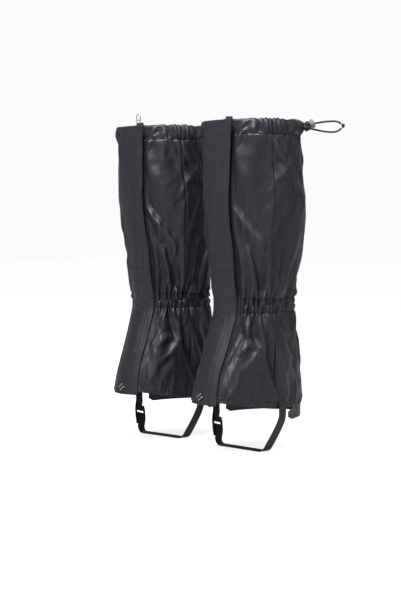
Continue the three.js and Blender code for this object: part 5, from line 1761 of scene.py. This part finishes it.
@dataclass(frozen=True)
class Studio:
    """The camera, a pale floor and soft light."""

    azimuth: float = math.radians(42.144)
    elevation: float = math.radians(3.877)
    distance: float = 1.77932
    lens: float = 36.0 * 1219.07 / 401
    shift_right: float = -0.017717
    shift_up: float = -0.03555
    middle: tuple[float, float, float] = (0.0, 0.0, 0.24)

    def camera(self) -> None:
        """Sets the camera, which looks a little down at both gaiters."""
        a, e = self.azimuth, self.elevation
        back = Vector((math.sin(a) * math.cos(e), -math.cos(a) * math.cos(e), math.sin(e)))
        right = Vector((math.cos(a), math.sin(a), 0))
        up = Vector((-math.sin(a) * math.sin(e), math.cos(a) * math.sin(e), math.cos(e)))
        target = Vector(self.middle) + right * self.shift_right + up * self.shift_up
        data = bpy.data.cameras.new("camera")
        data.lens, data.sensor_width, data.sensor_fit = self.lens, 36.0, "HORIZONTAL"
        data.clip_end = 20.0
        data.dof.use_dof = False
        camera = bpy.data.objects.new("camera", data)
        turn = Matrix((right, up, back)).transposed().to_4x4()
        camera.matrix_world = Matrix.Translation(target + back * self.distance) @ turn
        bpy.context.scene.collection.objects.link(camera)
        bpy.context.scene.camera = camera

    def area(self, name: str, place: Vector, size: float, power: float) -> None:
        """A soft box at a place that faces the gaiters."""
        data = bpy.data.lights.new(name, "AREA")
        data.shape, data.size, data.energy = "SQUARE", size, power
        lamp = bpy.data.objects.new(name, data)
        aim = (place - Vector((0, 0, LIT_HEIGHT))).to_track_quat("Z", "Y").to_matrix().to_4x4()
        lamp.matrix_world = Matrix.Translation(place) @ aim
        bpy.context.scene.collection.objects.link(lamp)

    def build(self) -> None:
        """The floor, the world's even light and four soft boxes."""
        floor = bmesh.new()
        bmesh.ops.create_grid(floor, x_segments=2, y_segments=2, size=6.0)
        pale = Finish("matt_paper_floor", "#c9c9ca", "#c5c5c6", 0.95, patch_mm=400.0, bump_mm=0.01)
        piece = new_piece("floor", floor, pale)
        paper = pale.material().node_tree
        shader = paper.nodes["Principled BSDF"]
        shader.inputs["Emission Color"].default_value = linear("#fafafb")
        seen = add_node(paper, "LightPath").outputs["Is Camera Ray"]
        glow = add_node(paper, "MapRange", {"Value": seen, "To Min": 0.12, "To Max": 0.85})
        paper.links.new(glow.outputs["Result"], shader.inputs["Emission Strength"])
        piece.data.transform(Matrix.Translation((0, 0, -FLOOR_DROP)))
        world = bpy.data.worlds.new("even_light")
        world.use_nodes = True
        tree = world.node_tree
        tree.nodes.clear()
        seen = add_node(tree, "LightPath").outputs["Is Camera Ray"]
        strength = add_node(tree, "MapRange", {"Value": seen, "To Min": 0.3, "To Max": 1.0})
        even = add_node(tree, "Background",
                        {"Color": linear("#fbfbfc"), "Strength": strength.outputs["Result"]})
        add_node(tree, "OutputWorld", {"Surface": even.outputs["Background"]})
        bpy.context.scene.world = world
        bpy.context.scene.view_settings.view_transform = "Standard"
        a = self.azimuth
        front = Vector((math.sin(a), -math.cos(a), 0))
        right = Vector((math.cos(a), math.sin(a), 0))
        up = Vector((0, 0, 1))
        self.area("key", front * 1.0 + right * -0.8 + up * 1.7, 0.6, 12.0)
        self.area("upper", front * 0.6 + right * -0.25 + up * 1.02, 0.4, 9.0)
        self.area("fill", front * 1.2 + right * 1.2 + up * 1.4, 0.9, 8.0)
        self.area("back", front * -1.2 + right * 0.4 + up * 1.5, 1.0, 14.0)


def gaiter(side: Side) -> None:
    """Builds and dresses one gaiter."""
    form = LegForm(side)
    relief = Relief(form)
    cord = DrawCord(side, form)
    cord.cords()
    cord.channel()
    cord.lock()
    leg = ClothLeg(side, form, relief)
    leg.panels()
    leg.casing(cord.frame())
    leg.elastic_hem()
    leg.ankle_band()
    leg.heel_tab()
    leg.stitches()
    closure = FrontClosure(side, form, relief)
    closure.zip()
    closure.slider()
    closure.fasteners()
    closure.flap()
    closure.lace_hook()
    InstepStrap(side, form, relief).build()


def main() -> None:
    """Builds the pair and the studio."""
    logging.basicConfig(level=logging.INFO, format="%(message)s")
    studio = Studio()
    studio.camera()
    for side in Side:
        gaiter(side)
    studio.build()
    bpy.context.view_layer.update()


if __name__ == "__main__":
    main()
